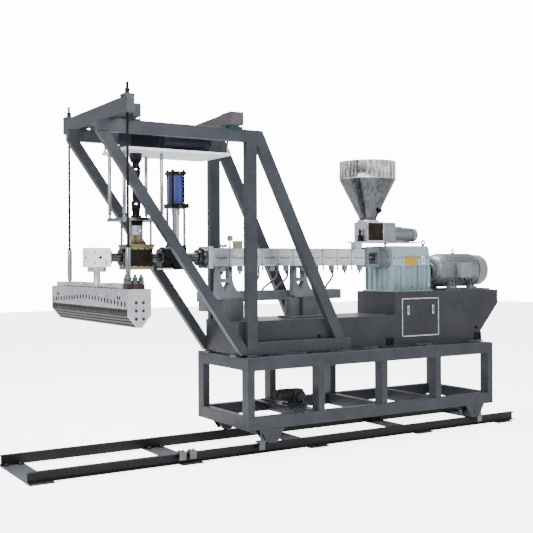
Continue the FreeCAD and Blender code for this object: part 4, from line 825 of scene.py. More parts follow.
@dataclass
class MachineBed:
    """Stepped bed with its access panel, trim, lifting sockets and plugs."""

    screw: float = 3.5
    edge: float = 7         # from the trim's outline to its screws

    def build(self) -> None:
        """Makes the bed, the flat panel with two slot latches, and the screws round its trim."""
        dress(Look.BED, 4, "machine_bed")
        dress(Look.STAINLESS, 1.5, "panel_trim")
        dress(Look.BLACK_STEEL, 1.5, "lifting_lugs")
        dress(Look.BED, 1.5, "access_panel")
        low, high = corners_of("access_panel")
        latches = [(low[0] + share * (high[0] - low[0]), low[1], high[2] - 124) for share in (0.15, 0.85)]
        plate = rounded_block((-15, -1, -52), (15, 6, 52), 2)
        make_piece("panel_latch_plates", Look.STAINLESS, "panel_trim", plate.copies(latches))
        turn = rounded_block((-5, -4, -34), (5, 2, 34), 1.5)
        make_piece("panel_latch_turns", Look.BAKELITE, "lifting_lugs", turn.copies(latches))
        low, high = corners_of("panel_trim")
        xs = np.linspace(low[0] + self.edge, high[0] - self.edge, 5)
        zs = np.linspace(low[2] + self.edge, high[2] - self.edge, 4)
        places = [*product(xs, [low[1]], zs[[0, -1]]), *product(xs[[0, -1]], [low[1]], zs[1:-1])]
        make_piece("panel_trim_screws", Look.ZINC, "panel_trim", bolts(self.screw, Axis.MINUS_Y, places))


@dataclass
class Barrel:
    """Heated barrel on its stands, with covers, plugs, trough, conduits and instruments."""

    handle: float = 3
    conduit: float = 13

    def build(self) -> None:
        """Makes everything between the flange and the lantern."""
        dress(Look.STAINLESS, 3, "barrel_core")
        dress(Look.STAND, 3, "barrel_supports")
        dress(Look.PEDESTAL, 3, "support_pedestals")
        dress(Look.STAND, 1, "wiring_trough")
        self.add_covers()
        self.add_adapter()
        self.add_plugs()
        self.add_conduits()
        self.add_instruments()

    def add_covers(self) -> None:
        """Folded sheet covers, each with a curved pull on both sides and screws in its corners."""
        dress(Look.STAINLESS, 5, "heater_covers")
        pulls, screws, strips = [], [], []
        share = np.linspace(-1.0, 1.0, 21)
        for cover in solids_of("heater_covers"):
            low, high = cover.box()
            x, _, z = (low + high) / 2
            path = [x + 66 * share, low[1] + 1 - 9 * (1 - share ** 8), z + 12 * share ** 2 - 8]
            pulls.append(carried(self.handle, 8, np.stack(path, axis=1)))
            screws += product((low[0] + 14, high[0] - 14), [low[1]], (high[2] - 16, low[2] + 16))
            strips.append(rounded_block((low[0] + 6, -34, high[2] - 1), (high[0] - 6, 34, high[2] + 7), 2))
        make_piece("cover_pulls", Look.BLACK_STEEL, "barrel_adapter", join(pulls).both())
        make_piece("cover_screws", Look.ZINC, "barrel_instruments", bolts(4, Axis.MINUS_Y, screws).both())
        make_piece("cover_top_strips", Look.TOOL_STEEL, "barrel_core", *strips)

    def add_adapter(self) -> None:
        """Stepped round adapter with a bolted rim, and the bolts of the square flange."""
        low, high = corners_of("barrel_adapter")
        z, r = (low[2] + high[2]) / 2, (high[2] - low[2]) / 2
        profile = [(r - 2, 0), (r, 2), (r, 36), (r - 2, 40), (84, 40), (84, 58), (78, 62), (78, 66), (84, 70),
                   (84, 86), (50, 88), (48, 92), (48, high[0] - low[0])]
        make_piece("barrel_adapter_made", Look.TOOL_STEEL, "barrel_adapter",
                   turned(profile, (high[0], 0, z), Axis.MINUS_X, 64), stands=True)
        rim = [(high[0] - 40, a, z + b) for a, b in circle(96, 8, FULL_TURN / 16)]
        make_piece("adapter_bolts", Look.ZINC, "barrel_instruments", bolts(7, Axis.MINUS_X, rim))

    def add_plugs(self) -> None:
        """Heater plugs that hang under the covers, each with a cable gland."""
        shells, glands, probes = [], [], []
        for i, cover in enumerate(solids_of("heater_covers")):
            low, high = cover.box()
            x, y, z = (low[0] + high[0]) / 2 + (46 if i % 2 else 30), -56, low[2]
            shells.append(slab((x, y, z), (-26, -24, -56), (26, 24, 2), 7))
            glands.append(turned([(12, 0), (14, 3), (14, 16), (9, 20), (9, 34), (6, 37)], (x, y, z - 54),
                                 Axis.MINUS_Z, 16))
            probes.append(turned([(8, 0), (8, 24), (12, 26), (12, 38), (5, 42), (5, 60)],
                                 (low[0] + 30, y, z + 1), Axis.MINUS_Z, 12))
        make_piece("heater_plug_shells", Look.STAND, "barrel_instruments", *shells)
        make_piece("heater_plugs", Look.BAKELITE, "barrel_adapter", *glands)
        make_piece("thermocouple_stems", Look.TOOL_STEEL, "barrel_core", *probes)

    def add_conduits(self) -> None:
        """Ribbed conduits: the radius ripples along a path that eases from the cover to the trough."""
        runs = []
        share = np.linspace(0.0, 1.0, 180)
        ease = np.clip((share - 0.25) / 0.5, 0.0, 1.0)
        ease = ease * ease * (3 - 2 * ease)
        for solid in solids_of("heater_conduits"):
            level = solid.points[:, 2]
            top = solid.points[level > solid.high[2] - 1].mean(axis=0)
            foot = solid.points[level < solid.low[2] + 1].mean(axis=0)
            path = top + (foot - top) * np.stack([ease, ease, share], axis=1)
            runs.append(carried(self.conduit, 14, path, 0.9 + 0.1 * np.sin(share * 180 * 1.6)))
        make_piece("heater_conduits_made", Look.CONDUIT, "heater_conduits", *runs, stands=True)

    def add_instruments(self) -> None:
        """Vent stack with a collar, valve with its stem, and a gauge with a ticked dial."""
        solids = solids_of("barrel_instruments")
        vent = max(solids, key=lambda s: s.span(1))
        gauge = max(solids, key=lambda s: s.high[2])
        low, high = others(solids, vent, gauge)[0].box()
        finish_node("barrel_instruments", Look.CREAM, 2, "vent_stack_made", [vent])
        body = turned([(10, 0), (15, 3), (15, 22), (11, 26), (11, 66), (15, 70), (15, 89), (10, 92)],
                      (low[0], 0, low[2] + 30), Axis.X, 24)
        stem = turned([(13, 0), (13, 8), (8, 10), (8, 30)], ((low[0] + high[0]) / 2, 0, low[2]), Axis.Z, 20)
        make_piece("sampling_valve_made", Look.ZINC, "barrel_instruments", body, stem, stands=True)
        low, high = gauge.box()
        x, z = (low[0] + high[0]) / 2, high[2] - 31
        case = turned([(24, 0), (30, 3), (31, 8), (31, 26), (28, 28), (27, 24)], (x, 14, z), Axis.MINUS_Y, 48)
        stem = rod(7, high[2] - low[2] - 60, (x, 0, low[2]))
        nut = rod(12, 14, (x, 0, low[2] + 10), Axis.Z, 6)
        make_piece("pressure_gauge_made", Look.BAKELITE, "barrel_instruments", case, stem, nut)
        make_piece("gauge_dial", Look.DIAL, "feed_block", rod(26.5, 1, (x, -10, z), Axis.MINUS_Y, 40))
        bars = [prism(self.tick(x, z, a, 19, 24, 0.7), -12, -10.6)
                for a in np.linspace(-0.7, math.pi + 0.7, 11)]
        pointer = prism(self.tick(x, z, 2.2, -6, 20, 1.0), -12.4, -11)
        make_piece("gauge_ticks", Look.BAKELITE, "barrel_adapter", *bars, pointer)

    @staticmethod
    def tick(x: float, z: float, angle: float, near: float, far: float, half: float) -> np.ndarray:
        """Outline of a thin bar on the dial, from one radius to another."""
        along = np.array([math.cos(angle), math.sin(angle)])
        side = np.array([-along[1], along[0]]) * half
        start, end = (x, z) + along * near, (x, z) + along * far
        return np.array([start + side, start - side, end - side, end + side])


@dataclass
class GearUnit:
    """Gear case with cover, lantern, screw shafts, and the main motor."""

    motor_radius: float = 205
    motor_axis: float = 243         # above the bed's high deck
    nose: float = 220               # from the gear case to the motor's end bell
    bell: float = 110

    def build(self) -> None:
        """Makes the gear unit and the motor."""
        dress(Look.GEAR, 4, "gear_case")
        dress(Look.GEAR, 5, "gear_cover")
        dress(Look.STAND, 3, "coupling_housing")
        dress(Look.BRIGHT, 2, "screw_shafts")
        self.add_case_details()
        self.add_motor()
        self.add_terminal_box()

    def add_case_details(self) -> None:
        """Bolts on foot and joint, sight glass, plain yellow plate, breather and drain plugs."""
        low, high = corners_of("gear_case")
        (left, near, seam), (right, _, peak) = corners_of("gear_cover")
        feet = bolts(9, Axis.Z,
                     product(np.linspace(low[0] + 50, high[0] - 50, 6), [low[1] + 13], [low[2] + 16]))
        sides = bolts(7, Axis.MINUS_Y, product(np.linspace(left + 30, right - 40, 9), [near], [seam - 22]))
        front = bolts(7, Axis.MINUS_X, product([left], (near + 30, -near - 30), [seam - 22]))
        make_piece("gear_case_bolts", Look.ZINC, "guide_shoes", feet.both(), sides.both(), front)
        points = join(solids_of("gear_cover")).points
        x, y, _ = points[points[:, 2] > peak - 20].mean(axis=0)
        make_piece("gear_case_eye_bolt", Look.BLACK_RAIL, "drive_shaft",
                   rod(9, 12, (x, y, peak - 70), Axis.Z, 6), eye_bolt((x, y, peak - 62), 24, 8))
        self.add_ribs(low[2] + 20, seam - 122, high[0], left, near + 4)
        edge = [(left + 1, seam - 4), (right - 1, seam - 4), (right - 1, seam + 4), (left + 1, seam + 4)]
        make_piece("gear_joint_band", Look.GEAR, "gear_case", prism(edge, near - 4, -near + 4))
        plate = slab((left, near, high[2]), (190, -4, -108), (381, 0, -9), 1.5)
        make_piece("plain_yellow_plate", Look.YELLOW, "gear_case", plate)
        rivets = product((left + 199, left + 372), [near - 4], (high[2] - 99, high[2] - 18))
        make_piece("yellow_plate_rivets", Look.ZINC, "guide_shoes", bolts(4, Axis.MINUS_Y, rivets))
        glass = (left + 470, near, high[2])
        make_piece("oil_sight_rim", Look.WHITE, "feed_block", slab(glass, (-20, -10, -96), (20, 0, 0), 6))
        make_piece("oil_sight_pane", Look.GLASS, "barrel_adapter", slab(glass, (-8, -12, -80), (8, -4, -16), 3))
        breather = turned([(14, 0), (14, 10), (9, 12), (9, 20), (20, 22), (20, 38), (15, 44)],
                          (left + 150, 60, peak - 66))
        drain = turned([(16, 0), (16, 12), (10, 14)], (left + 300, near + 24, low[2] + 46), Axis.MINUS_Y, 6)
        make_piece("gear_case_plugs", Look.ZINC, "guide_shoes", breather, drain)
        end = solids_of("coupling_housing")[-1]
        ring = [(end.low[0], a - 138, (end.low[2] + end.high[2]) / 2 + b)
                for a, b in arc(92, np.linspace(math.pi * 0.55, math.pi * 1.45, 5))]
        make_piece("end_cover_bolts", Look.ZINC, "guide_shoes", bolts(7, Axis.MINUS_X, ring))

    def add_ribs(self, floor: float, top: float, right: float, left: float, near: float) -> None:
        """Cast ribs down the long sides and the die-end face, from the joint to the foot."""
        side = join([rounded_block((x - 5, near - 15, floor), (x + 5, near + 4, top), 2.5)
                     for x in np.linspace(left + 14, right - 30, 8)])
        ends = [rounded_block((left - 14, y - 6, floor), (left + 4, y + 6, top), 3)
                for y in np.linspace(near + 14, -near - 14, 6)]
        make_piece("gear_case_ribs", Look.GEAR, "gear_case", side.both(), *ends)

    def add_motor(self) -> None:
        """Main motor: shaft with coupling, bell, finned body, feet, eye and fan cover."""
        low, high = corners_of("main_motor")
        z, floor = corners_of("gear_case")[0][2] + self.motor_axis, low[2]
        x = low[0] + self.nose + 30
        motor = FinnedMotor((x, 0, z), self.motor_radius, self.bell, high[0] - x - self.bell,
                            corners_of("fan_cover")[1][0] - high[0], fins=52, fin_height=10)
        shaft = turned([(45, 0), (45, 60), (100, 62), (104, 68), (104, 108), (70, 112), (70, 122), (104, 126),
                        (104, 166), (100, 172), (60, 174), (60, self.nose)], (low[0], 0, z), Axis.X)
        feet, rows = [], (x + 170, x + 500)
        for row in rows:
            feet.append(slab((row, -178, floor), (-55, -40, 0), (55, 40, 26), 4).both())
            outline = np.array([(-205, 24), (-120, 24), (-120, 120), (-168, 150)]) + (0, floor)
            feet += [prism(outline, row + k, row + k + 9, Axis.X).both() for k in (-26, 18)]
        make_piece("motor_eye_bolt", Look.BLACK_RAIL, "drive_shaft",
                   eye_bolt((x + 360, 0, z + self.motor_radius - 12), 24, 8))
        make_piece("main_motor_made", Look.MOTOR, "main_motor", motor.bell_shape(), motor.body_shape(), *feet,
                   stands=True)
        make_piece("motor_coupling", Look.TOOL_STEEL, "main_motor", shaft)
        make_piece("motor_fan_cover_made", Look.MOTOR, "fan_cover", motor.fan_shape(), stands=True)
        # Black ring in the gap behind the fan cover: painted shade.
        make_piece("motor_gap_painted_shade", Look.BAKELITE, "barrel_adapter", motor.gap_shade_shape())
        ring = [(x + 0.34 * self.bell, a, z + b) for a, b in circle(0.86 * self.motor_radius, 8, 0.3)]
        make_piece("motor_bolts", Look.ZINC, "guide_shoes", bolts(9, Axis.MINUS_X, ring),
                   bolts(10, Axis.Z, product(rows, (-198, 198), [floor + 26])))

    def add_terminal_box(self) -> None:
        """Terminal box with a lid, corner screws and two cable glands."""
        dress(Look.MOTOR, 5, "motor_terminal_box")
        low, high = corners_of("motor_terminal_box")
        lid = rounded_block((low[0] + 3, low[1] - 4, low[2] + 3), (high[0] - 3, low[1] + 9, high[2] - 3), 4)
        make_piece("terminal_box_lid", Look.MOTOR, "motor_terminal_box", lid)
        screws = product((low[0] + 16, high[0] - 16), [low[1] - 4], (low[2] + 16, high[2] - 16))
        glands = turned([(16, 0), (16, 10), (20, 11), (20, 24), (14, 32), (9, 34)], low + (60, 45, 3),
                        Axis.MINUS_Z, 6).copies([(0, 0, 0), (70, 0, 0)])
        make_piece("terminal_box_fittings", Look.ZINC, "guide_shoes", bolts(5, Axis.MINUS_Y, screws), glands)


@dataclass
class Feeding:
    """Hopper, feeder box with its deck and throat, and the feeder's drive."""

    wall: float = 5
    shoulder: float = 204       # height of the hopper's cylinder
    outlet: float = 102

    def build(self) -> None:
        """Makes the hopper, the box and the drive."""
        dress(Look.STAINLESS, 2.5, "feeder_housing")
        self.add_hopper()
        self.add_box_details()
        self.add_drive()

    def add_hopper(self) -> None:
        """Rolled sheet: a thin wall turned about the upright axis, with a beaded rim and a welded seam."""
        low, high = corners_of("feed_hopper")
        radius, height = (high[0] - low[0]) / 2, high[2] - low[2]
        x, y, z = foot = ((low[0] + high[0]) / 2, 0, low[2])
        w, neck, brim = self.wall, self.outlet, height - self.shoulder
        outer = [(neck, 0), (neck, 22), (neck + 2, 26), (radius - 3, brim - 4), (radius - 1.5, brim),
                 (radius - 2, brim + 6), (radius - 2, height - 12), (radius, height - 9), (radius, height - 3),
                 (radius - 2, height)]
        inner = [(radius - w - 2, height), (radius - w - 2, brim), (neck - w + 1, 26), (neck - w, 0)]
        make_piece("feed_hopper_made", Look.HOPPER, "feed_hopper",
                   turned(outer[3:] + inner[:2], foot, Axis.Z, 96, closed=True), stands=True, sharp=50)
        make_piece("hopper_cone_made", Look.CONE, "feed_hopper",
                   turned(outer[:4] + inner[1:], foot, Axis.Z, 96, closed=True), sharp=50)
        band = np.array([(-1, -2), (0, 1), (0, 5), (-1, 8), (-5, 8), (-5, -2)]) + (radius, brim)
        make_piece("hopper_shoulder_weld", Look.STAINLESS, "feed_hopper",
                   turned(band, foot, Axis.Z, 96, closed=True))
        ring = [(x + a, b, z) for a, b in circle(114, 8)]
        make_piece("hopper_outlet_bolts", Look.ZINC, "guide_shoes", bolts(5, Axis.Z, ring))
        probe = (x + 52, -118, z + 104)
        stub = turned([(14, 0), (14, 30), (20, 32), (24, 40), (24, 56), (18, 62)], probe, Axis.MINUS_Y, 24)
        make_piece("hopper_level_probe", Look.BLACK_STEEL, "barrel_adapter", stub,
                   rod(34, 8, probe, Axis.MINUS_Y, 28))

    def add_box_details(self) -> None:
        """Front door with hinges and a catch, its brown-black colour a painted dark reflection, and the black
        fitting on the die-end face.
        """
        right, _, floor = corners_of("feeder_drive")[0]
        left, top = right - 250, corners_of("feeder_housing")[1][2] - 20
        door = rounded_block((left + 18, -131, floor + 14), (right - 18, -124, top - 16), 3)
        # Brown-black pump steel on the door: painted reflection of dark surroundings in its polished sheet.
        make_piece("feeder_door", Look.PUMP_STEEL, "feeder_housing", door)
        hinges = [rod(7, 34, (left + 16, -133, z)) for z in (floor + 36, top - 80)]
        catch = slab((right, 0, (floor + top) / 2), (-44, -141, -18), (-30, -129, 18), 4)
        make_piece("feeder_door_hinges", Look.ZINC, "guide_shoes", *hinges, catch)
        profile = [(30, 0), (30, 26), (22, 30), (22, 44), (27, 48), (27, 70), (14, 76), (14, 110), (20, 114),
                   (20, 124), (9, 130), (9, 148)]
        fitting = turned(profile, (left - 26, -20, floor), Axis.Z, 32)
        bracket = slab((left, -20, floor), (-26, -14, 20), (2, 14, 40), 3)
        make_piece("feeder_agitator_fitting", Look.BLACK_STEEL, "barrel_adapter", fitting, bracket)

    def add_drive(self) -> None:
        """Feeder gearbox copied with rounded edges, and its finned motor."""
        gearbox, drive = solids_of("feeder_drive")
        finish_node("feeder_drive", Look.MOTOR, 8, "feeder_gearbox_made", [gearbox])
        x, _, z = drive.low
        motor = FinnedMotor((x, 0, z + 88), 86, 50, drive.span(0) - 95, 85, fins=32, fin_height=6)
        make_piece("feeder_motor_made", Look.MOTOR, "feeder_drive", motor.bell_shape(), motor.body_shape(),
                   motor.fan_shape(), slab((x, 0, z), (50, -55, 0), (170, 55, 30), 4),
                   slab((x, 0, z), (60, -40, 148), (150, 40, 184), 5))
        # Black ring in the gap behind the fan cover: painted shade.
        make_piece("feeder_motor_gap_painted_shade", Look.BAKELITE, "barrel_adapter", motor.gap_shade_shape())


@dataclass
class Gantry:
    """Side trusses, crossbeams and their welds."""

    bead: float = 4

    def build(self) -> None:
        """Makes the trusses and crossbeams."""
        dress(Look.SLATE, 5, "gantry_posts", "gantry_top_beams", "gantry_front_braces", "gantry_rear_braces",
              "gantry_sole_beams")
        dress(Look.TEAL, 2, "shim_plates")
        die, platform, rear = solids_of("gantry_crossbeams")
        finish_node("gantry_crossbeams", Look.SLATE, 4, "die_crossbeam_made", [die, platform])
        finish_node("gantry_crossbeams", Look.PRIMER, 4, "rear_crossbeam_made", [rear])
        beads = [weld_round(*post.box(), post.high[2] - 1, self.bead, 20) for post in solids_of("gantry_posts")]
        make_piece("gantry_weld_beads", Look.SLATE, "gantry_posts", *beads)


@dataclass
class PumpDrive:
    """Platform with gearbox and motor, the upright shaft, the pump and its plates and pipes."""

    fin_pitch: float = 22
    fin_width: float = 8
    fin_height: float = 14

    def build(self) -> None:
        """Makes the pump drive from the platform down to the pipes."""
        platform, *hangers = sorted(solids_of("pump_platform"), key=lambda s: -s.span(0))
        finish_node("pump_platform", Look.WHITE, 3, "pump_platform_made", [platform])
        finish_node("pump_platform", Look.BRIGHT, 1, "platform_hangers_made", hangers)
        dress(Look.BRIGHT, 2, "pump_frame")
        tubes = []
        for bar in (s for s in solids_of("pump_frame") if s.span(2) > 400):
            x, y, _ = (bar.low + bar.high) / 2
            tubes.append(turned([(17, 0), (18, 3), (18, bar.span(2) - 45), (16, bar.span(2) - 42)],
                                (x, y, bar.low[2] + 36), Axis.Z, 20))
        make_piece("pump_frame_spacer_tubes", Look.BRIGHT, "pump_frame", *tubes)
        self.add_gearbox()
        self.add_shaft()
        self.add_pump()

    def add_gearbox(self) -> None:
        """Gear case with upright fins on its sides, and the finned motor beside it."""
        case, drive = solids_of("pump_drive")
        floor = drive.low[2]
        finish_node("pump_drive", Look.NAVY, 6, "pump_gearbox_made", [case])
        length = case.span(0) - 24
        count = int(length / self.fin_pitch)
        start = np.arange(count) * self.fin_pitch + (length - count * self.fin_pitch + self.fin_pitch
                                                     - self.fin_width) / 2
        along = np.stack([start, start, start + self.fin_width, start + self.fin_width], axis=1).ravel()
        comb = np.stack([along, np.tile([self.fin_height, 0.0, 0.0, self.fin_height], count)], axis=1)
        outline = np.concatenate([[(0.0, 20)], comb, [(length, 20)]]) + (case.low[0] + 12, case.low[1] - 12)
        fins = prism(outline, floor + 20, case.high[2] - 18, Axis.Z)
        make_piece("pump_gearbox_fins", Look.NAVY, "pump_drive", fins.both())
        x = drive.low[0]
        motor = FinnedMotor((x + 4, 0, floor + 128), 110, 60, drive.span(0) - 154, 90, fins=40, fin_height=8)
        make_piece("pump_motor_made", Look.NAVY, "pump_drive", motor.bell_shape(), motor.body_shape(),
                   motor.fan_shape(), slab((x, 0, floor), (110, -90, 0), (350, 90, 40), 5), stands=True)

    @staticmethod
    def joint(place: Point) -> list[Shape]:
        """Universal joint: two forks at right angles that reach past each other, and the cross between them."""
        forks = [slab(place, (-34, y - 7, -44), (34, y + 7, 16), 6) for y in (-32, 32)]
        forks += [slab(place, (s - 7, -34, -16), (s + 7, 34, 44), 6) for s in (-32, 32)]
        cross = [rod(11, 84, np.add(place, (0, -42, 0)), Axis.Y, 20),
                 rod(11, 84, np.add(place, (-42, 0, 0)), Axis.X, 20)]
        hubs = [turned([(36, 0), (40, 6), (40, 22), (30, 26)], np.add(place, (0, 0, -60)), Axis.Z, 40),
                turned([(30, 0), (40, 4), (40, 20), (36, 26)], np.add(place, (0, 0, 34)), Axis.Z, 40)]
        return forks + cross + hubs

    def add_shaft(self) -> None:
        """Shaft with an end flange and a universal joint at both ends, and a splined sleeve between them."""
        low, high = corners_of("drive_shaft")
        x, z0, z1 = (low[0] + high[0]) / 2, low[2], high[2]
        flange = [(52, 0), (54, 2), (54, 22), (50, 26), (36, 28), (36, 60)]
        top = [(r, z1 - z0 - h) for r, h in reversed(flange)]
        length = z1 - z0 - 360
        sleeve = [(30, 0), (34, 6), (34, 0.42 * length), (27, 0.44 * length), (27, length)]
        spline = turned(sleeve, (x, 0, z0 + 180), Axis.Z, 96, lambda a: 1.2 * np.sign(np.sin(16 * a)))
        make_piece("drive_shaft_made", Look.BLACK_STEEL, "drive_shaft", turned(flange, (x, 0, z0), Axis.Z, 40),
                   turned(top, (x, 0, z0), Axis.Z, 40), spline, *self.joint((x, 0, z0 + 120)),
                   *self.joint((x, 0, z1 - 120)), stands=True)
        ring = [(x + a, b, z0 + 26) for a, b in circle(44, 6)]
        make_piece("drive_shaft_bolts", Look.ZINC, "guide_shoes", bolts(5, Axis.Z, ring), body="drive_shaft")

    def add_pump(self) -> None:
        """Pump body with collars and screws, brass plates, ribbed brass adapter, coupling, and pipes."""
        solids = solids_of("melt_pump")
        plates = [s for s in solids if s.span(2) < 30]
        adapter = max(solids, key=lambda s: s.high[2])
        body = max(others(solids, adapter, *plates), key=lambda s: s.volume())
        finish_node("melt_pump", Look.PUMP_STEEL, 4, "melt_pump_body", [body])
        finish_node("melt_pump", Look.BRASS, 2, "melt_pump_plates", plates)
        finish_node("melt_pump", Look.TOOL_STEEL, 2, "melt_pipes_made", others(solids, adapter, body, *plates))
        start, end = body.box()
        collars = [rounded_block((start[0] - 7, start[1] - 7, z0), (end[0] + 7, end[1] + 7, z1), 3)
                   for z0, z1 in ((start[2] - 4, start[2] + 22), (end[2] - 28, end[2] + 4))]
        make_piece("melt_pump_collars", Look.BRASS, "melt_pump", *collars)
        low, high = adapter.box()
        x, neck, length = (low[0] + high[0]) / 2, high[2] - 140, high[2] - 140 - low[2]
        ribbed = turned([(56, 0), (60, 4), (60, length - 4), (56, length)], (x, 0, low[2]), Axis.Z, 120,
                        lambda a: 3 * np.cos(20 * a))
        make_piece("pump_brass_adapter", Look.BRASS, "melt_pump", ribbed)
        sleeve = turned([(40, 0), (44, 3), (44, 40), (41, 43), (41, 52), (44, 55), (44, 97), (40, 100)],
                        (x, 0, neck), Axis.Z, 56)
        make_piece("pump_coupling_sleeve", Look.CHROME, "pump_frame", sleeve)
        flange = turned([(66, 0), (70, 3), (70, 37), (66, 40)], (x, 0, neck + 100), Axis.Z, 56)
        make_piece("pump_bearing_flange", Look.BLACK_STEEL, "drive_shaft", flange)
        front = product(np.linspace(start[0] + 26, end[0] - 26, 4), [start[1]], (start[2] + 22, end[2] - 22))
        side = product([start[0]], (start[1] + 30, end[1] - 30), (start[2] + 24, end[2] - 24))
        make_piece("pump_body_screws", Look.BLACK_STEEL, "drive_shaft", bolts(8, Axis.MINUS_Y, front).both(),
                   bolts(8, Axis.MINUS_X, side))


@dataclass
class ScreenChanger:
    """Screen changer block, its columns and tray, the slide, and the hydraulic cylinder."""

    tube: float = 78

    def build(self) -> None:
        """Makes the changer and the cylinder."""
        solids = solids_of("screen_changer")
        tray = min(solids, key=lambda s: s.span(2))
        block = max(solids, key=lambda s: s.span(0))
        finish_node("screen_changer", Look.WHITE, 2, "drip_tray_made", [tray])
        finish_node("screen_changer", Look.BLACK_STEEL, 4, "screen_block_made", [block])
        finish_node("screen_changer", Look.BRIGHT, 1, "screen_columns_made", others(solids, tray, block))
        dress(Look.STAINLESS, 2, "screen_slide")
        self.add_cylinder()

    def add_cylinder(self) -> None:
        """Blue tube with gland rings between black plates, nuts on the tie rods and two oil ports."""
        tube, plates = sorted(solids_of("screen_cylinder"), key=lambda s: s.span(2))
        finish_node("screen_cylinder", Look.BLACK_STEEL, 3, "cylinder_plates_made", [plates])
        low, high = tube.box()
        x, height, r = (low[0] + high[0]) / 2, tube.span(2), self.tube
        profile = [(r - 4, 0), (r - 4, 16), (r, 18), (r, height - 18), (r - 4, height - 16), (r - 4, height)]
        make_piece("cylinder_tube_made", Look.BLUE, "screen_cylinder",
                   turned(profile, (x, 0, low[2]), Axis.Z, 64))
        nut = turned([(15, 0), (15, 13), (12, 15)], steps=6)
        make_piece("cylinder_nuts", Look.BLACK_STEEL, "drive_shaft",
                   nut.copies(product((x - 62, x + 62), (-62, 62), [plates.high[2] - 20])))
        ports = [turned([(14, 0), (14, 10), (10, 12), (10, 26)], (x, -80, z), Axis.MINUS_Y, 6)
                 for z in (low[2] - 23, high[2] + 18)]
        make_piece("cylinder_oil_ports", Look.ZINC, "guide_shoes", *ports)


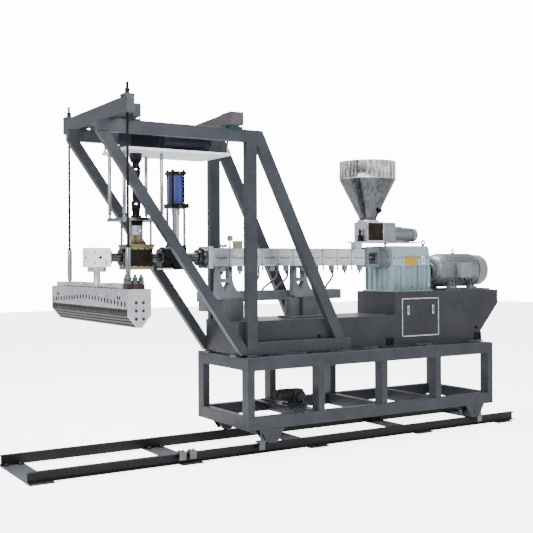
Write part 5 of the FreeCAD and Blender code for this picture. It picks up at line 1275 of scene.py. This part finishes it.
@dataclass
class SheetDie:
    """Feed block, slotted die body, lips, end plates, heater connectors and hanging rods."""

    slots: int = 25
    slot_width: float = 30
    slot_height: float = 50
    pair_height: float = 36
    slot_depth: float = 34
    grooves: int = 4
    lip_screws: int = 34
    pitch: float = 7            # of the hanging rods' thread, drawn coarse so that it shows

    def build(self) -> None:
        """Makes the whole die."""
        self.add_body()
        self.add_lips()
        dress(Look.CHROME, 3, "die_end_plates")
        self.add_end_sockets()
        self.add_feed_block()
        self.add_connectors()
        self.add_hangers()

    def slot(self, height: float) -> Shape:
        """One upright slot with round ends, through the origin along X."""
        r = self.slot_width / 2
        top = arc(r, np.linspace(0.0, math.pi, 7)) + (0, height / 2 - r)
        return prism(np.concatenate([top, -top]), -self.slot_depth, self.slot_depth, Axis.X)

    def add_body(self) -> None:
        """Ground die body with slots cut out of both faces, their walls in dark pump steel as painted shade, and the
        clamp bars on its top.

        The slots stand in a row that rises to the middle, with pairs of short ones over its ends.
        """
        solids = solids_of("die_body")
        block = max(solids, key=lambda s: s.volume())
        low, high = block.box()
        share = np.linspace(-1.0, 1.0, self.slots)
        row = zip(share * (high[1] - 50), low[2] + 40 + (1 - np.abs(share)) * 52)
        long_ones = self.slot(self.slot_height).copies([(low[0], y, z) for y, z in row])
        reach = high[1] - 190
        ys = (-reach - 22, -reach + 22, reach - 22, reach + 22)
        pairs = self.slot(self.pair_height).copies(product([low[0]], ys, [low[2] + 96]))
        middle = (low[0] + high[0]) / 2
        body = make_piece("die_body_made", Look.CHROME, "die_body", block, stands=True)
        # The slot walls take the dark pump steel: painted shade inside the recesses.
        body.data.materials.append(material_of(Look.PUMP_STEEL))
        cutter = make_piece("die_slot_cutter", Look.PUMP_STEEL, "die_body",
                            join([long_ones, pairs]).both(0, middle))
        cut = body.modifiers.new("slots", "BOOLEAN")
        cut.operation = "DIFFERENCE"
        cut.solver = "EXACT"
        cut.object = cutter
        cut.material_mode = "TRANSFER"
        apply_modifiers(body, 30.0)
        bpy.data.objects.remove(cutter)
        finish_node("die_body", Look.CHROME, 2, "die_cover_plates_made", others(solids, block))
        bars = [rounded_block((low[0] + 30, y0, high[2]), (high[0] - 30, y1, high[2] + 45), 4)
                for y0, y1 in ((-840, -220), (220, 950))]
        make_piece("die_clamp_bars", Look.CHROME, "die_body", *bars)
        heads = product((low[0] + 16, high[0] - 16), np.linspace(-680, 680, 18), [high[2]])
        make_piece("die_clamp_bolts", Look.BLACK_STEEL, "drive_shaft", bolts(7, Axis.Z, heads))

    def add_lips(self) -> None:
        """Lip bars: an outline with heater grooves down both slopes, carried along the sheet's width."""
        low, high = corners_of("die_lips")
        x, half = (low[0] + high[0]) / 2, (high[0] - low[0]) / 2
        start, end = np.array([half, high[2] - 50]), np.array([18, low[2]])
        share = (np.arange(self.grooves)[:, None] + np.array([0.12, 0.16, 0.38, 0.42])) / self.grooves
        outwards = unit(np.array([start[1] - end[1], end[0] - start[0]]))
        sunk = np.tile([0.0, 7, 7, 0.0], self.grooves)[:, None] * outwards
        slope = start + share.reshape(-1, 1) * (end - start) - sunk
        right = np.concatenate([[(half, high[2])], [start], slope, [end]])
        outline = np.concatenate([right, right[::-1] * (-1, 1)]) + (x, 0)
        make_piece("die_lips_made", Look.LIP, "die_lips", prism(outline, low[1], high[1]), stands=True, sharp=25)
        places = product([low[0] - 1], np.linspace(low[1] + 40, high[1] - 40, self.lip_screws), [high[2] - 24])
        screws = turned([(9, 0), (9, 5), (5, 6)], axis=Axis.MINUS_X, steps=12).copies(places)
        make_piece("lip_adjusting_screws", Look.TOOL_STEEL, "die_lips", screws.both(0, x))

    def add_end_sockets(self) -> None:
        """Dark socket screws in two columns on both end plates, with a small pin between each pair."""
        low, high = corners_of("die_end_plates")
        x = (low[0] + high[0]) / 2
        columns = (x - 34, x + 34)
        socket = turned([(14, 0), (14, 2.5), (12, 3), (8, 3), (7.5, 0.5)], axis=Axis.MINUS_Y, steps=20)
        pin = turned([(6, 0), (6, 2), (4, 2.5)], axis=Axis.MINUS_Y, steps=12)
        near = join([socket.copies(product(columns, [low[1]], low[2] + np.array([78, 150, 222]))),
                     pin.copies(product(columns, [low[1]], [low[2] + 186]))])
        make_piece("end_plate_sockets", Look.BAKELITE, "die_body", near.both())

    def add_feed_block(self) -> None:
        """White covered block with cover screws and a thermocouple hole, over a bright flange and neck."""
        solids = solids_of("feed_block")
        cover = max(solids, key=lambda s: s.high[2])
        neck = min(solids, key=lambda s: s.low[2])
        finish_node("feed_block", Look.WHITE, 5, "feed_block_made", [cover])
        h = neck.span(2)
        profile = [(64, 0), (66, 2), (66, 24), (62, 26), (36, 28), (34, 34), (34, h - 48), (88, h - 45),
                   (92, h - 41), (92, h - 24), (88, h - 22), (92, h - 19), (92, h - 3), (88, h)]
        foot = ((neck.low[0] + neck.high[0]) / 2, 0, neck.low[2])
        make_piece("die_neck_made", Look.CHROME, "die_body", turned(profile, foot, Axis.Z, 56))
        start, end = cover.box()
        x, _, z = (start + end) / 2
        corners = product((start[0] + 50, end[0] - 50), [start[1]], (start[2] + 45, end[2] - 45))
        hole = turned([(13, 0), (13, 3), (9, 4)], (x, start[1], z), Axis.MINUS_Y, 24)
        make_piece("feed_block_screws", Look.BLACK_STEEL, "drive_shaft", bolts(5, Axis.MINUS_Y, corners).both(),
                   hole, bolts(8, Axis.MINUS_X, [(start[0], 0, z)]))

    def add_connectors(self) -> None:
        """Heater connectors: base, ribbed grey shell, locking ring and cable boot."""
        bases, shells = [], []
        for solid in solids_of("die_connectors"):
            low, high = solid.box()
            x, y, z = (low[0] + high[0]) / 2, (low[1] + high[1]) / 2, low[2] + 42
            bases.append(rounded_block(low, (high[0], high[1], z), 4))
            profile = [(22, 0), (27, 3), (27, 34), (21, 38), (21, 42), (26, 45), (23, 62), (13, 66), (12, 68),
                       (12, high[2] - z)]
            shells.append(turned(profile, (x, y, z), Axis.Z, 60, lambda a: 1.2 * np.cos(12 * a)))
            shells.append(turned([(8, 0), (8, 34), (11, 36), (11, 52)], (x - 10, y + 6, z + 52),
                                 Axis.MINUS_Y, 12))
        left, behind, middle, right = bases
        make_piece("die_connector_bases", Look.OXIDE_RED, "die_connectors", left, right, stands=True)
        # The two middle bases are drawn black instead of red: painted shade on the shaded middle bases.
        make_piece("die_connector_painted_shade_bases", Look.BAKELITE, "die_connectors", behind, middle)
        make_piece("die_connector_shells", Look.ZINC, "die_connectors", *shells)

    def add_hangers(self) -> None:
        """Hanging rods: black threaded rod above, bright turnbuckle below, nuts at both ends."""
        beam_top = solids_of("gantry_crossbeams")[0].high[2]
        rods, sleeves = [], []
        for solid in solids_of("die_hangers"):
            x, y, _ = (solid.low + solid.high) / 2
            z, start = solid.low[2], 430
            turns = int((solid.span(2) - start) / self.pitch)
            level = start + self.pitch * np.r_[0, np.arange(2, 2 * turns) / 2, turns + 0.5]
            thread = np.stack([np.tile([13, 11.4], turns), level], axis=1)
            rods.append(turned([(12, 60), (12, start - 2), *thread], (x, y, z), steps=16))
            sleeves.append(turned([(38, 0), (40, 3), (40, 22), (16, 26), (16, 58), (22, 60), (24, 66), (24, 364),
                                   (22, 370), (15, 372)], (x, y, z), Axis.Z, 32))
            nut = turned([(22, 0), (24, 3), (24, 21), (22, 24)], (x, y, beam_top), Axis.Z, 6)
            rods += [nut.copies([(0, 0, 0), (0, 0, 27)]), rod(21, 20, (x, y, z + 374), Axis.Z, 6)]
        make_piece("die_hanger_rods", Look.BLACK_STEEL, "die_hangers", *rods, stands=True, sharp=25)
        make_piece("die_hanger_sleeves", Look.BRIGHT, "die_hangers", *sleeves)


# ---- Studio ------------------------------------------------------------------------------------------
@dataclass
class Studio:
    """Plain pale floor, soft lights and the camera; in metres."""

    eye: tuple[float, float, float] = (-5.492, -8.425, 1.946)
    turn: float = 0.555             # camera's turn to the right of +Y
    roll: float = 0.0056
    lens: float = 61.39
    shift: float = -0.0032
    half_floor: float = 30.0
    sky_light: float = 0.55         # what the sky sheds on the machine
    sky_gleam: float = 1.6          # what polished metal mirrors of it
    sky_white: float = 14.0         # how bright it looks behind the machine

    def build(self) -> None:
        """Makes floor, lights, sky and camera."""
        self.add_camera()
        self.add_floor()
        self.add_sky()
        low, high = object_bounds()
        middle = (Vector(low) + Vector(high)) / 2
        self.add_light("top_light", middle + Vector((-0.5, 1.5, 6.5)), middle, 6.0, 1700.0)
        self.add_light("key_light", middle + Vector((-6.5, -4.0, 3.5)), middle, 4.5, 380.0)
        self.add_light("beam_light", Vector((-1.6, -3.2, 4.4)), Vector((-1.5, -0.4, 3.2)), 1.6, 90.0)
        self.add_light("fill_light", middle + Vector((5.5, -6.0, 2.5)), middle, 5.0, 90.0)

    def add_camera(self) -> None:
        """Level camera that looks along the machine from its die end."""
        data = bpy.data.cameras.new("main_camera")
        data.lens = self.lens
        data.sensor_width = 36.0
        data.shift_y = self.shift
        camera = bpy.data.objects.new("main_camera", data)
        camera.location = self.eye
        camera.rotation_euler = (math.pi / 2, self.roll, -self.turn)
        bpy.context.scene.collection.objects.link(camera)
        bpy.context.scene.camera = camera

    def add_floor(self) -> None:
        """Pale floor with a faint cloudiness, marked as stage."""
        material, tree, place = new_tree("pale_studio_floor")
        colour = ramp_between(tree, noise(tree, place, 1250, 3.0), 0.3, 0.7, "f1f1f1", "f6f6f6")
        ray = add(tree, "LightPath")
        glow = add(tree, "MapRange", {"To Min": 0.6, "To Max": 4.5}, {"Value": ray.outputs["Is Camera Ray"]})
        finish_tree(tree, {"Roughness": 0.75, "Emission Color": linear("ffffff")},
                    {"Base Color": colour, "Emission Strength": glow.outputs[0]})
        half = self.half_floor
        mesh = bpy.data.meshes.new("floor")
        mesh.from_pydata([(-half, -half, 0), (half, -half, 0), (half, half, 0), (-half, half, 0)], [],
                         [(0, 1, 2, 3)])
        mesh.materials.append(material)
        floor = bpy.data.objects.new("floor", mesh)
        bpy.context.scene.collection.objects.link(floor)
        floor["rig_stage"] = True

    def add_sky(self) -> None:
        """Soft white surroundings; glossy rays meet a few grey upright bands, as of a studio's walls."""
        world = bpy.data.worlds.new("studio")
        world.use_nodes = True
        tree = world.node_tree
        tree.nodes.clear()
        parts = add(tree, "SeparateXYZ", links={0: add(tree, "TexCoord").outputs["Generated"]})
        angle = add(tree, "Math", links={0: parts.outputs["Y"], 1: parts.outputs["X"]}, operation="ARCTAN2")
        wave = add(tree, "Math", {1: 17.0}, {0: angle.outputs[0]}, operation="MULTIPLY")
        sine = add(tree, "Math", links={0: wave.outputs[0]}, operation="SINE")
        ray = add(tree, "LightPath")
        mixed = add(tree, "Mix", {"A": linear("ffffff")},
                    {"Factor": ray.outputs["Is Glossy Ray"],
                     "B": ramp_between(tree, sine.outputs[0], 0.2, 0.45, "ffffff", "4a4d52")}, data_type="RGBA")
        gleam = add(tree, "MapRange", {"To Min": self.sky_light, "To Max": self.sky_gleam},
                    {"Value": ray.outputs["Is Glossy Ray"]})
        glow = add(tree, "MapRange", {"To Max": self.sky_white},
                   {"Value": ray.outputs["Is Camera Ray"], "To Min": gleam.outputs[0]})
        sky = add(tree, "Background", links={"Color": mixed.outputs["Result"], "Strength": glow.outputs[0]})
        add(tree, "OutputWorld", links={"Surface": sky.outputs[0]})
        bpy.context.scene.world = world

    def add_light(self, name: str, place: Vector, target: Vector, size: float, power: float) -> None:
        """Square soft light that faces a target."""
        data = bpy.data.lights.new(name, "AREA")
        data.size = size
        data.energy = power
        light = bpy.data.objects.new(name, data)
        light.location = place
        light.rotation_euler = (target - place).to_track_quat("-Z", "Y").to_euler()
        bpy.context.scene.collection.objects.link(light)


def main() -> None:
    logging.basicConfig(level=logging.INFO, format="%(name)s: %(message)s")
    for part in (Studio, Track, Wheel, Carriage, MachineBed, Barrel, GearUnit, Feeding, Gantry, PumpDrive,
                 ScreenChanger, SheetDie):
        part().build()


if __name__ == "__main__":
    main()
